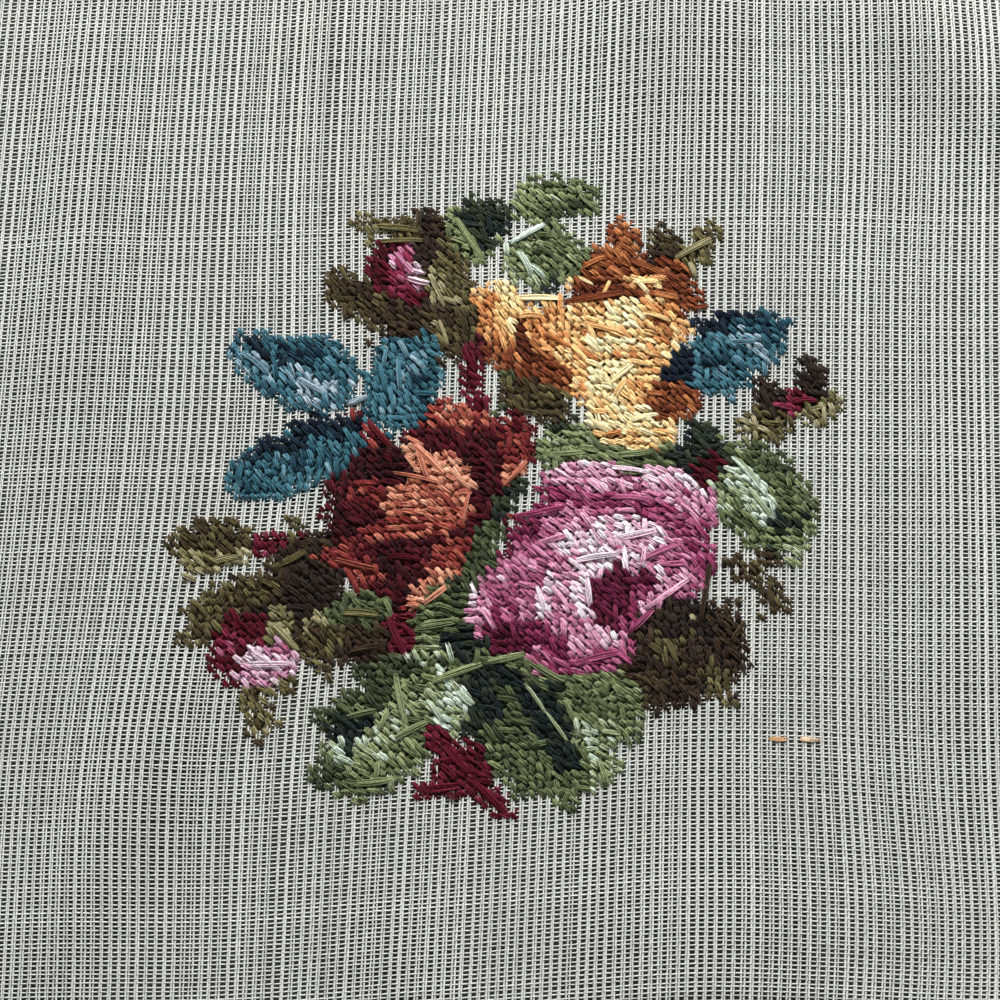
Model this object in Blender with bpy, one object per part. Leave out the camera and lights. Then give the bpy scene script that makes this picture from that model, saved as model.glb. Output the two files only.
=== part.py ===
"""Needlepoint canvas panel, lying reverse side up: a soft rippled sheet of double-thread
canvas with a worked wool bouquet standing a little proud of it. Metres, +Z up, origin at
the bottom centre of the panel."""

import math

import bpy
import numpy as np

# Canvas cut
PANEL_WIDTH = 0.322
PANEL_LENGTH = 0.336
CANVAS_THICKNESS = 0.0012
CANVAS_CELL = 0.0115

# Weave the wool is worked on: one stitch is one crossing of thread pairs
STITCH_ACROSS = 0.00253
STITCH_UP = 0.002445
CHART_CENTRE = (-0.0021, -0.0092)
WARP_LEAN = 0.043
WEFT_RISE = 0.030

# Wool standing on the canvas
WOOL_GAP = 0.0004
WOOL_RIM = 0.0007
WOOL_CROWN = 0.0014
NEIGHBOUR_GAP = 0.42
ROSE_SPOKES = 36
ROSE_RINGS = (0.4, 0.75, 1.0)
LEAF_STATIONS = 9

# Soft ridges of the canvas, metres and degrees: middle, direction, half length, half width, height
RIDGES = (
    dict(x=0.050, y=0.160, turn=96, long=0.046, wide=0.027, high=0.0062),
    dict(x=0.056, y=-0.145, turn=84, long=0.040, wide=0.026, high=0.0058),
    dict(x=-0.128, y=0.085, turn=88, long=0.080, wide=0.018, high=0.0040),
    dict(x=-0.112, y=-0.105, turn=66, long=0.060, wide=0.017, high=0.0042),
    dict(x=0.138, y=0.140, turn=-48, long=0.050, wide=0.022, high=0.0070),
    dict(x=0.135, y=-0.030, turn=95, long=0.070, wide=0.016, high=0.0034),
    dict(x=-0.050, y=0.150, turn=80, long=0.036, wide=0.018, high=0.0030),
    dict(x=-0.030, y=-0.152, turn=100, long=0.026, wide=0.018, high=0.0030),
    dict(x=0.002, y=-0.008, turn=0, long=0.105, wide=0.098, high=0.0024),
)
RIDGE_SINK = 0.0009
RIDGE_ROUND = 0.0006

# Colours of canvas and wools, each with its roughness
FINISHES = {
    "canvas": ((0.66, 0.69, 0.63), 0.85),
    "wool_gold": ((0.72, 0.40, 0.14), 0.90),
    "wool_rust": ((0.30, 0.06, 0.03), 0.90),
    "wool_pink": ((0.55, 0.20, 0.32), 0.90),
    "wool_teal": ((0.05, 0.17, 0.22), 0.90),
    "wool_green": ((0.12, 0.16, 0.07), 0.90),
    "wool_olive": ((0.08, 0.08, 0.03), 0.90),
    "wool_burgundy": ((0.13, 0.01, 0.03), 0.90),
    "tacking_cotton": ((0.75, 0.45, 0.20), 0.85),
}

# Roses and buds in stitches: heart, then petals as middle, half length, half width, turn in degrees
ROUND_MOTIFS = (
    dict(
        name="rose_gold",
        wool="wool_gold",
        heart=(10.0, 19.0),
        petals=(
            (10.5, 19.0, 8.5, 6.5, 0),
            (0.8, 22.0, 6.6, 4.2, 105),
            (16.0, 19.5, 6.2, 6.0, 0),
            (14.0, 28.0, 8.2, 3.6, 0),
            (13.9, 32.4, 3.0, 1.7, 90),
            (14.2, 10.8, 7.4, 4.0, -32),
            (20.6, 11.4, 3.0, 2.6, 0),
        ),
    ),
    dict(
        name="rose_rust",
        wool="wool_rust",
        heart=(-9.0, -1.0),
        petals=(
            (-9.0, 0.0, 11.5, 8.5, 0),
            (-6.5, 9.0, 6.4, 3.6, -14),
            (1.2, 6.0, 5.2, 2.8, 80),
            (-15.5, 6.0, 4.8, 4.4, 0),
            (-12.0, -7.6, 8.6, 3.8, -12),
            (-9.2, -11.4, 3.8, 2.4, 10),
        ),
    ),
    dict(
        name="rose_pink",
        wool="wool_pink",
        heart=(12.0, -8.5),
        petals=(
            (12.5, -8.5, 12.6, 10.0, 0),
            (12.0, 1.0, 7.0, 3.2, 0),
            (21.5, -1.0, 4.8, 4.6, 0),
            (1.6, -13.0, 6.0, 4.4, 100),
            (10.5, -18.4, 6.8, 3.2, -4),
        ),
    ),
    dict(
        name="bud_upper",
        wool="wool_burgundy",
        heart=(-13.0, 29.8),
        petals=((-13.8, 29.8, 4.9, 2.4, 105), (-11.6, 30.6, 3.6, 2.3, 125)),
    ),
    dict(
        name="bud_right",
        wool="wool_burgundy",
        heart=(35.2, 11.6),
        petals=((35.2, 11.6, 3.2, 1.9, 20),),
    ),
    dict(
        name="bud_left",
        wool="wool_burgundy",
        heart=(-27.5, -16.6),
        petals=((-28.4, -16.4, 4.6, 2.6, 80), (-25.6, -18.6, 3.8, 2.2, 8)),
    ),
)

# Leaves, bands and stems in stitches: route from base to tip, half width, and how blunt the ends are
LONG_MOTIFS = (
    dict(name="leaf_teal_outer", wool="wool_teal", route=((-19, 14), (-26, 19), (-33, 22.5)), half=4.9, blunt=2.6),
    dict(name="leaf_teal_inner", wool="wool_teal", route=((-13, 10.4), (-13, 16), (-11.5, 22)), half=4.2, blunt=2.6),
    dict(name="leaf_teal_lower", wool="wool_teal", route=((-18.5, 8.6), (-25, 6.4), (-31.5, 3.4)), half=4.0, blunt=2.8),
    dict(name="leaf_teal_right", wool="wool_teal", route=((20, 14.8), (27, 17.6), (34.6, 21.8)), half=3.9, blunt=2.2),
    dict(name="leaf_crest", wool="wool_green", route=((0.4, 37.2), (6, 39.4), (11.2, 37.8)), half=2.5, blunt=2.6),
    dict(name="leaf_crown_left", wool="wool_green", route=((-1, 31.6), (-3.6, 35.4), (-4.6, 39.4)), half=2.7, blunt=3.0),
    dict(name="leaf_crown_right", wool="wool_green", route=((0, 32.6), (4.6, 31.4), (9, 32.4)), half=3.8, blunt=2.6),
    dict(name="leaf_lobe_left", wool="wool_olive", route=((21.4, 29.2), (20, 32), (19.2, 34.8)), half=1.7, blunt=3.0),
    dict(name="leaf_lobe_right", wool="wool_olive", route=((22.6, 29.6), (24, 32), (25.4, 34.2)), half=1.6, blunt=3.0),
    dict(name="sepal_arch", wool="wool_olive", route=((-18, 36.8), (-13, 35.8), (-9.6, 34.6)), half=0.9, blunt=3.6),
    dict(name="sepal_spine", wool="wool_olive", route=((-9.9, 38.4), (-7.4, 30), (-5.2, 18)), half=2.5, blunt=3.6),
    dict(name="sepal_outer", wool="wool_olive", route=((-21, 31), (-17.2, 25.6), (-10, 23.2)), half=1.8, blunt=3.2),
    dict(name="stem_upper", wool="wool_burgundy", route=((-3.6, 17.4), (-4.4, 15.6), (-2.4, 12.8)), half=0.9, blunt=4.0),
    dict(name="leaf_shade", wool="wool_olive", route=((-0.6, 13.6), (4, 12.8), (8.6, 10)), half=2.0, blunt=3.0),
    dict(name="leaf_band", wool="wool_green", route=((4.4, 6.2), (12, 5.6), (21, 5.6)), half=2.6, blunt=3.6),
    dict(name="leaf_hollow", wool="wool_green", route=((23.6, 9), (25, 5.6), (26, 2.4)), half=2.0, blunt=3.6),
    dict(name="leaf_right", wool="wool_green", route=((27.6, 5.4), (33, 0.6), (35.6, -7)), half=3.9, blunt=2.8),
    dict(name="twig_right", wool="wool_olive", route=((27, -9), (31, -11), (34.8, -15.4)), half=1.1, blunt=4.0),
    dict(name="twig_spur", wool="wool_olive", route=((31.2, -8.8), (32.8, -8.6), (34, -8.4)), half=0.8, blunt=4.0),
    dict(name="leaf_dark", wool="wool_olive", route=((17, -20.6), (23.5, -20.4), (30.4, -20.6)), half=6.4, blunt=3.6),
    dict(name="leaf_left", wool="wool_olive", route=((-28.6, -4), (-33, -3.6), (-38.2, -4.4)), half=2.7, blunt=2.4),
    dict(name="stem_left", wool="wool_burgundy", route=((-28, -4.4), (-25.6, -4.2), (-22.6, -4.8)), half=1.1, blunt=4.0),
    dict(name="twig_left", wool="wool_olive", route=((-24.6, -0.4), (-24, -1.6), (-23.2, -2.8)), half=0.8, blunt=4.0),
    dict(name="sepal_left", wool="wool_olive", route=((-34.8, -13.4), (-27, -9.8), (-17.6, -11.2)), half=2.1, blunt=3.2),
    dict(name="leaf_under_bud", wool="wool_olive", route=((-22.6, -16.4), (-17, -16.6), (-11.6, -17)), half=2.6, blunt=3.4),
    dict(name="leaf_tip", wool="wool_olive", route=((-26, -22), (-25.4, -24.6), (-24.8, -27.2)), half=1.3, blunt=2.6),
    dict(name="stem_middle", wool="wool_burgundy", route=((-10.8, -14.6), (-10, -17), (-9, -19.4)), half=0.8, blunt=4.0),
    dict(name="leaf_between", wool="wool_green", route=((-3.6, -10.4), (-5, -14.6), (-4.8, -19.2)), half=3.2, blunt=3.8),
    dict(name="leaf_base_left", wool="wool_green", route=((-6.4, -21.6), (-12, -27.6), (-16.8, -35.4)), half=5.8, blunt=3.0),
    dict(name="leaf_base_right", wool="wool_green", route=((4.4, -22), (8.6, -30), (12.4, -38)), half=6.8, blunt=3.0),
    dict(name="leaf_base_middle", wool="wool_green", route=((-2.6, -20.8), (-2.4, -25), (-2.2, -29.2)), half=2.3, blunt=4.0),
    dict(name="stem_base", wool="wool_burgundy", route=((-4.6, -30.2), (-2, -33), (3.8, -39.6)), half=1.1, blunt=4.0),
    dict(name="stem_side", wool="wool_burgundy", route=((-6.6, -35.4), (-5, -35.9), (-2.8, -35.4)), half=0.8, blunt=4.0),
    dict(name="tacking_inner", wool="tacking_cotton", route=((32.9, -31.2), (34, -31.1), (35.2, -31.2)), half=0.3, blunt=6.0),
    dict(name="tacking_outer", wool="tacking_cotton", route=((36.4, -31.1), (37.7, -31), (39, -31.2)), half=0.3, blunt=6.0),
)


def clear_scene():
    for item in list(bpy.data.objects):
        bpy.data.objects.remove(item)


def make_material(name):
    colour, roughness = FINISHES[name]
    material = bpy.data.materials.new(name)
    material.use_nodes = True
    shader = material.node_tree.nodes["Principled BSDF"]
    shader.inputs["Base Color"].default_value = (*colour, 1.0)
    shader.inputs["Roughness"].default_value = roughness
    shader.inputs["Metallic"].default_value = 0.0
    return material


def chart_to_panel(points):
    """Stitches counted from the chart's centre to metres on the panel: the weave's two
    pitches, with the lean of the warp and the rise of the weft."""
    across, up = np.asarray(points, float).T
    x = CHART_CENTRE[0] + across * STITCH_ACROSS + up * STITCH_UP * WARP_LEAN
    y = CHART_CENTRE[1] + up * STITCH_UP + across * STITCH_ACROSS * WEFT_RISE
    return np.stack([x, y], axis=1)


def canvas_height(x, y):
    """Underside of the canvas: ridges with rounded backs, sunk a little so that the sheet
    lies flat at zero between them."""
    total = np.full(np.shape(x), -RIDGE_SINK)
    for ridge in RIDGES:
        turn = math.radians(ridge["turn"])
        along = (x - ridge["x"]) * math.cos(turn) + (y - ridge["y"]) * math.sin(turn)
        aside = (y - ridge["y"]) * math.cos(turn) - (x - ridge["x"]) * math.sin(turn)
        shape = np.exp(-((along / ridge["long"]) ** 2) - (aside / ridge["wide"]) ** 2)
        total = total + ridge["high"] * shape
    raised = np.maximum(total, 0.0)
    return raised**2 / (raised + RIDGE_ROUND)


def closed_sheet(name, top, bottom, faces, rim):
    """One closed body from matching top and bottom points: faces wind counterclockwise seen
    from above, and rim lists the edge points counterclockwise."""
    count = len(top)
    below = [tuple(index + count for index in reversed(face)) for face in faces]
    after = list(rim[1:]) + [rim[0]]
    wall = [(b, a, a + count, b + count) for a, b in zip(rim, after)]
    mesh = bpy.data.meshes.new(name)
    mesh.from_pydata(np.concatenate([top, bottom]).tolist(), [], list(faces) + below + wall)
    mesh.update()
    item = bpy.data.objects.new(name, mesh)
    bpy.context.scene.collection.objects.link(item)
    return item


def grid_faces(rows, columns):
    """Quads of a grid whose points run along a row first, rows stacked upwards."""
    start = np.arange((rows - 1) * columns).reshape(rows - 1, columns)[:, :-1].ravel()
    quads = np.stack([start, start + 1, start + columns + 1, start + columns], axis=1)
    return [tuple(int(index) for index in quad) for quad in quads]


def grid_rim(rows, columns):
    """Edge points of the same grid, counterclockwise from its first point."""
    low = list(range(columns))
    right = [columns * row + columns - 1 for row in range(1, rows)]
    high = [columns * (rows - 1) + column for column in range(columns - 2, -1, -1)]
    left = [columns * row for row in range(rows - 2, 0, -1)]
    return low + right + high + left


def make_canvas():
    columns = int(round(PANEL_WIDTH / CANVAS_CELL)) + 1
    rows = int(round(PANEL_LENGTH / CANVAS_CELL)) + 1
    x, y = np.meshgrid(
        np.linspace(-PANEL_WIDTH / 2, PANEL_WIDTH / 2, columns),
        np.linspace(-PANEL_LENGTH / 2, PANEL_LENGTH / 2, rows),
    )
    x, y = x.ravel(), y.ravel()
    low = canvas_height(x, y)
    bottom = np.stack([x, y, low], axis=1)
    top = np.stack([x, y, low + CANVAS_THICKNESS], axis=1)
    return closed_sheet("canvas", top, bottom, grid_faces(rows, columns), grid_rim(rows, columns))


def wool_levels(flat, crown):
    """Underside and upper side of wool over panel points; crown runs from 0 at its rim to 1."""
    x, y = flat.T
    under = canvas_height(x, y) + CANVAS_THICKNESS + WOOL_GAP
    over = under + WOOL_RIM + (WOOL_CROWN - WOOL_RIM) * crown
    return np.stack([x, y, over], axis=1), np.stack([x, y, under], axis=1)


def distance_inside(points, outline):
    """Distance from each point to a closed outline, in stitches, negative inside it."""
    start = outline[None, :, :]
    edge = np.roll(outline, -1, axis=0)[None, :, :] - start
    away = points[:, None, :] - start
    share = np.clip((away * edge).sum(2) / (edge * edge).sum(2), 0.0, 1.0)
    near = np.linalg.norm(away - edge * share[..., None], axis=2).min(1)
    py, sy, ey = points[:, None, 1], start[..., 1], start[..., 1] + edge[..., 1]
    rise = np.where(edge[..., 1] == 0, 1e-12, edge[..., 1])
    cross_x = start[..., 0] + (py - sy) / rise * edge[..., 0]
    crossed = ((sy > py) != (ey > py)) & (points[:, None, 0] < cross_x)
    inside = crossed.sum(1) % 2 == 1
    return np.where(inside, -near, near)


def clearance(points, outlines):
    """Smallest distance from each point to any outline already placed."""
    if not outlines:
        return np.full(len(points), 1e3)
    return np.min([distance_inside(points, outline) for outline in outlines], axis=0)


def petal_reach(heart, petals, angle):
    """How far a ray from the heart runs before it leaves the last petal it meets."""
    reach = 0.0
    direction = np.array([math.cos(angle), math.sin(angle)])
    for u, v, long, wide, turn in petals:
        c, s = math.cos(math.radians(turn)), math.sin(math.radians(turn))
        to_petal = np.array([[c / long, s / long], [-s / wide, c / wide]])
        ray = to_petal @ direction
        start = to_petal @ (np.array(heart) - (u, v))
        a, b, k = ray @ ray, ray @ start, start @ start - 1.0
        under_root = b * b - a * k
        if under_root > 0:
            reach = max(reach, (-b + math.sqrt(under_root)) / a)
    return reach


def make_round_motif(motif, outlines):
    """Lobed mound on spokes and rings, its spokes shortened beside what is already placed."""
    angles = np.arange(ROSE_SPOKES) * 2 * math.pi / ROSE_SPOKES
    heart = np.array(motif["heart"])
    directions = np.stack([np.cos(angles), np.sin(angles)], axis=1)
    reach = np.array([petal_reach(motif["heart"], motif["petals"], angle) for angle in angles])
    share = np.linspace(0.1, 1.0, 73)
    for spoke in range(ROSE_SPOKES):
        walk = heart + directions[spoke] * (reach[spoke] * share)[:, None]
        blocked = clearance(walk, outlines) < NEIGHBOUR_GAP
        if blocked.any():
            reach[spoke] *= share[max(int(blocked.argmax()) - 1, 0)]
    outline = heart + directions * reach[:, None]
    rings = [heart + directions * (reach * ring)[:, None] for ring in ROSE_RINGS]
    chart = np.concatenate([heart[None, :]] + rings)
    crown = np.concatenate([[1.0]] + [np.full(ROSE_SPOKES, 1.0 - ring**2) for ring in ROSE_RINGS])
    top, bottom = wool_levels(chart_to_panel(chart), crown)
    spokes = np.arange(ROSE_SPOKES)
    after = np.roll(spokes, -1)
    faces = [(0, 1 + int(a), 1 + int(b)) for a, b in zip(spokes, after)]
    for ring in range(len(ROSE_RINGS) - 1):
        low = 1 + ring * ROSE_SPOKES
        high = low + ROSE_SPOKES
        faces += [(int(low + a), int(high + a), int(high + b), int(low + b)) for a, b in zip(spokes, after)]
    rim = [1 + (len(ROSE_RINGS) - 1) * ROSE_SPOKES + int(a) for a in spokes]
    return closed_sheet(motif["name"], top, bottom, faces, rim), outline


def curve_through(route, shares):
    """Point and heading at each share of a smooth bend that passes its middle point halfway."""
    start, middle, end = (np.array(point, float) for point in route)
    pull = 2 * middle - 0.5 * (start + end)
    t = np.asarray(shares)[:, None]
    point = (1 - t) ** 2 * start + 2 * t * (1 - t) * pull + t**2 * end
    heading = 2 * (1 - t) * (pull - start) + 2 * t * (end - pull)
    return point, heading / np.linalg.norm(heading, axis=1)[:, None]


def free_stretch(route, outlines, margin):
    """First and last share of the longest stretch of a route that is clear of its neighbours."""
    shares = np.linspace(0.0, 1.0, 121)
    points, _ = curve_through(route, shares)
    free = clearance(points, outlines) > margin
    best, begin = (0, 0), None
    for index, clear in enumerate(list(free) + [False]):
        if clear and begin is None:
            begin = index
        if not clear and begin is not None:
            if index - 1 - begin > best[1] - best[0]:
                best = (begin, index - 1)
            begin = None
    return shares[best[0]], shares[best[1]]


def side_width(point, side, wanted, outlines):
    """Half width to one side, drawn in where a neighbour stands closer than wanted."""
    steps = np.linspace(0.0, 1.0, 61)[1:]
    walk = point + side * (wanted * steps)[:, None]
    blocked = clearance(walk, outlines) < NEIGHBOUR_GAP
    if not blocked.any():
        return wanted
    return wanted * steps[max(int(blocked.argmax()) - 1, 0)]


def make_long_motif(motif, outlines):
    """Leaf, band or stem: stations along its route, two edges and a raised middle line."""
    first, last = free_stretch(motif["route"], outlines, NEIGHBOUR_GAP + 0.25)
    shares = np.linspace(first, last, LEAF_STATIONS)
    points, headings = curve_through(motif["route"], shares)
    sides = np.stack([-headings[:, 1], headings[:, 0]], axis=1)
    swell = 1.0 - np.abs(2 * shares - 1.0) ** motif["blunt"]
    wanted = motif["half"] * np.maximum(swell, 0.12)
    left = [side_width(p, n, w, outlines) for p, n, w in zip(points, sides, wanted)]
    right = [side_width(p, -n, w, outlines) for p, n, w in zip(points, sides, wanted)]
    left_edge = points + sides * np.array(left)[:, None]
    right_edge = points - sides * np.array(right)[:, None]
    chart = np.stack([left_edge, points, right_edge], axis=1).reshape(-1, 2)
    middle = np.where((shares > first) & (shares < last), 1.0, 0.35)
    crown = np.stack([np.zeros(LEAF_STATIONS), middle, np.zeros(LEAF_STATIONS)], axis=1).ravel()
    top, bottom = wool_levels(chart_to_panel(chart), crown)
    outline = np.concatenate([left_edge[::-1], points[:1], right_edge, points[-1:]])
    item = closed_sheet(
        motif["name"], top, bottom, grid_faces(LEAF_STATIONS, 3), grid_rim(LEAF_STATIONS, 3)
    )
    return item, outline


def finish(item, material):
    item.data.materials.append(material)
    item.data.shade_smooth()
    item.data.set_sharp_from_angle(angle=math.radians(50))


def main():
    clear_scene()
    materials = {name: make_material(name) for name in FINISHES}
    finish(make_canvas(), materials["canvas"])
    outlines = []
    for motif in ROUND_MOTIFS:
        item, outline = make_round_motif(motif, outlines)
        finish(item, materials[motif["wool"]])
        outlines.append(outline)
    for motif in LONG_MOTIFS:
        item, outline = make_long_motif(motif, outlines)
        finish(item, materials[motif["wool"]])
        outlines.append(outline)


main()
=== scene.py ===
import math

import bpy
import numpy as np
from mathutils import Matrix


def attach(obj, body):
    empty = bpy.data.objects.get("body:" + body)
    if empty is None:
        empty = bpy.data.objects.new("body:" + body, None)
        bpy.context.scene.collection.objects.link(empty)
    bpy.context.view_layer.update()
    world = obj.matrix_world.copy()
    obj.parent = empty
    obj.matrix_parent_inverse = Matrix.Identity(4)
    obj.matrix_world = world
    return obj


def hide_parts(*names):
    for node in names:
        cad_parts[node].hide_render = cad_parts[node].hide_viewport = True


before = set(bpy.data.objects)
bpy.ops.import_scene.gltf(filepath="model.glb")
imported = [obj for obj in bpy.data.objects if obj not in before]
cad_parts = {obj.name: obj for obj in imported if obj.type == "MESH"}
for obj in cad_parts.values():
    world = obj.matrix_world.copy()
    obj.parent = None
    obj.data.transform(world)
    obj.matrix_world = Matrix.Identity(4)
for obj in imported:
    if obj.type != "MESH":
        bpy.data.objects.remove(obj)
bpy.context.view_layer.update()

seedStart = 11
rng = np.random.default_rng(seedStart)
mm = 0.001

# the panel and its chart, as in the part's source
panel = {
    "width": 0.322,
    "length": 0.336,
    "across": 2.530 * mm,  # one stitch to the right
    "up": 2.445 * mm,  # one stitch up
    "warpLean": 0.105 * mm,
    "weftRise": 0.076 * mm,
    "chartCentre": (-2.30 * mm, -9.60 * mm),
    "sink": 0.9 * mm,
    "round": 0.6 * mm,
}

# soft ridges of the cloth: x, y in mm, turn in degrees, half length, half width and height in mm
ridges = (
    (50, 160, 96, 46, 27, 6.2),
    (56, -145, 84, 40, 26, 5.8),
    (-128, 85, 88, 80, 18, 4.0),
    (-112, -105, 66, 60, 17, 4.2),
    (138, 140, -48, 50, 22, 7.0),
    (135, -30, 95, 70, 16, 3.4),
    (-50, 150, 80, 36, 18, 3.0),
    (-30, -152, 100, 26, 18, 3.0),
    (2, -8, 0, 105, 98, 2.4),
)

# where handling has pulled the weave: chart u, v, reach in u, reach in v, shift in mm
pulls = (
    (-18, 12, 20, 22, 4.0, 0.0),
    (-40, -32, 18, 20, -4.0, 0.0),
    (24, 66, 22, 30, 0.0, 4.0),
    (24, -45, 24, 30, 0.0, 4.0),
    (60, 0, 18, 80, 0.0, -3.5),
    (-28, -20, 14, 50, 0.0, -2.0),
    (48, 48, 16, 16, 2.0, 0.0),
    (48, -54, 16, 16, 3.5, 0.0),
)


# underside height: the ridges' bell curves added up, less the sink, rounded off at zero
def clothHeight(x, y):
    total = np.full(np.shape(x), -panel["sink"])
    for cx, cy, turn, long, wide, high in ridges:
        t = math.radians(turn)
        dx, dy = x - cx * mm, y - cy * mm
        along = (dx * math.cos(t) + dy * math.sin(t)) / (long * mm)
        aside = (dy * math.cos(t) - dx * math.sin(t)) / (wide * mm)
        total = total + high * mm * np.exp(-(along**2) - aside**2)
    raised = np.maximum(total, 0)
    return raised**2 / (raised + panel["round"])


# chart point to panel point: an even slanted grid plus a bell-shaped shift for each pull
def chartPlace(u, v):
    x = panel["chartCentre"][0] + panel["across"] * u + panel["warpLean"] * v
    y = panel["chartCentre"][1] + panel["up"] * v + panel["weftRise"] * u
    for pu, pv, reachU, reachV, shiftX, shiftY in pulls:
        near = np.exp(-(((u - pu) / reachU) ** 2) - ((v - pv) / reachV) ** 2)
        x = x + shiftX * mm * near
        y = y + shiftY * mm * near
    return x, y


# a mesh object from whole arrays, with point values and one UV map
def buildPiece(name, points, quads, tris, material, values, uv=None, normals=None):
    mesh = bpy.data.meshes.new(name)
    mesh.from_pydata(points.tolist(), [], quads.tolist() + tris.tolist())
    mesh.polygons.foreach_set("use_smooth", np.ones(len(mesh.polygons), dtype=bool))
    for key, array in values.items():
        attribute = mesh.attributes.new(key, "FLOAT", "POINT")
        attribute.data.foreach_set("value", array.astype(np.float32))
    if uv is not None:
        corner = np.empty(len(mesh.loops), dtype=np.int64)
        mesh.loops.foreach_get("vertex_index", corner)
        layer = mesh.uv_layers.new(name="yarn")
        layer.data.foreach_set("uv", uv[corner].astype(np.float32).ravel())
    mesh.materials.append(material)
    mesh.update()
    if normals is not None:
        mesh.normals_split_custom_set_from_vertices(normals.astype(np.float32))
    piece = bpy.data.objects.new(name, mesh)
    bpy.context.scene.collection.objects.link(piece)
    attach(piece, "root")
    return piece


# a 0-255 display colour as linear light
def linear(colour):
    return tuple(((c / 255 + 0.055) / 1.055) ** 2.4 if c > 10 else c / 3294.6 for c in colour) + (1.0,)


# a plain material, its node tree and its shader
def newMaterial(name, roughness):
    material = bpy.data.materials.new(name)
    material.use_nodes = True
    shader = material.node_tree.nodes["Principled BSDF"]
    shader.inputs["Roughness"].default_value = roughness
    return material, material.node_tree, shader


# a node group with named inputs, which puts out a colour, a roughness and a height
def newGroup(name, inputs):
    group = bpy.data.node_groups.new(name, "ShaderNodeTree")
    for label, kind, value in inputs:
        socket = group.interface.new_socket(label, in_out="INPUT", socket_type="NodeSocket" + kind)
        socket.default_value = value
    for label, kind in (("Colour", "Color"), ("Roughness", "Float"), ("Height", "Float")):
        group.interface.new_socket(label, in_out="OUTPUT", socket_type="NodeSocket" + kind)
    return group, group.nodes.new("NodeGroupInput"), group.nodes.new("NodeGroupOutput")


# one sum on two numbers or node outputs
def addMath(tree, operation, first, second):
    node = tree.nodes.new("ShaderNodeMath")
    node.operation = operation
    for slot, value in zip(node.inputs, (first, second)):
        if isinstance(value, (int, float)):
            slot.default_value = value
        else:
            tree.links.new(value, slot)
    return node.outputs[0]


# noise from 0 to 1 at a place
def addNoise(tree, vector, scale, detail=2.0, rough=0.5):
    node = tree.nodes.new("ShaderNodeTexNoise")
    node.inputs["Scale"].default_value = scale
    node.inputs["Detail"].default_value = detail
    node.inputs["Roughness"].default_value = rough
    tree.links.new(vector, node.inputs["Vector"])
    return node.outputs["Fac"]


# a value that the mesh carries at each point
def addAttribute(tree, name):
    node = tree.nodes.new("ShaderNodeAttribute")
    node.attribute_name = name
    return node.outputs["Fac"]


# brightness of a colour times a value
def addTint(tree, colour, factor):
    node = tree.nodes.new("ShaderNodeVectorMath")
    node.operation = "SCALE"
    tree.links.new(colour, node.inputs[0])
    tree.links.new(factor, node.inputs["Scale"])
    return node.outputs[0]


fibreLook = {
    "alongYarn": 0.7,  # noise cells for each mm along a yarn
    "scale": 1.6,
    "detail": 3.0,
    "rough": 0.65,
    # strength of the painted light on the fibre ridges and the painted shade between them
    "paintedShadeContrast": 2.6,
    "mattest": 1.05,  # roughness between the fibres
    "shine": 0.4,  # how much smoother the fibres are
}


# fibres that run along a yarn: noise drawn out along the first UV axis, used as the bump's height; the
# colour has painted light on the ridges and painted shade between them
def makeYarnGroup():
    inputs = (
        ("Colour", "Color", (0.5, 0.5, 0.5, 1)),
        ("Painted fibre shade", "Float", 0.4),
        ("Fibre count", "Float", 5.0),
    )
    group, inside, out = newGroup("yarnFibres", inputs)
    uvMap = group.nodes.new("ShaderNodeUVMap")
    uvMap.uv_map = "yarn"
    stretch = group.nodes.new("ShaderNodeVectorMath")
    stretch.operation = "MULTIPLY"
    along = group.nodes.new("ShaderNodeCombineXYZ")
    along.inputs["X"].default_value = fibreLook["alongYarn"]
    group.links.new(inside.outputs["Fibre count"], along.inputs["Y"])
    group.links.new(uvMap.outputs[0], stretch.inputs[0])
    group.links.new(along.outputs[0], stretch.inputs[1])
    fibre = addNoise(group, stretch.outputs[0], fibreLook["scale"], fibreLook["detail"], fibreLook["rough"])
    # painted light and shade: lighter where the fibre noise, also the bump's height, is high, darker where
    # it is low
    centred = addMath(group, "SUBTRACT", fibre, 0.5)
    depth = addMath(group, "MULTIPLY", centred, inside.outputs["Painted fibre shade"])
    shade = addMath(group, "ADD", addMath(group, "MULTIPLY", depth, fibreLook["paintedShadeContrast"]), 1.0)
    group.links.new(addTint(group, inside.outputs["Colour"], shade), out.inputs["Colour"])
    shine = addMath(group, "MULTIPLY", fibre, fibreLook["shine"])
    group.links.new(addMath(group, "SUBTRACT", fibreLook["mattest"], shine), out.inputs["Roughness"])
    group.links.new(fibre, out.inputs["Height"])
    return group


yarnGroup = makeYarnGroup()


cottonLook = {
    "colour": (0.74, 0.75, 0.72, 1),
    "soilColour": (0.57, 0.58, 0.515, 1),
    "soil": 0.6,
    "soilScale": 26.0,
    "twistScale": 2600.0,
    "rough": 0.6,  # of both noises
    "darkest": 0.75,  # painted shade between the plies of a thread, where the twist noise is low
    "paintedPlyShade": 0.5,  # and how much lighter the painted ply tops are
    "smoothest": 0.6,
    "twistMatt": 0.25,
    "bump": 0.35,
    "bumpDepth": 0.05 * mm,
}
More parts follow.
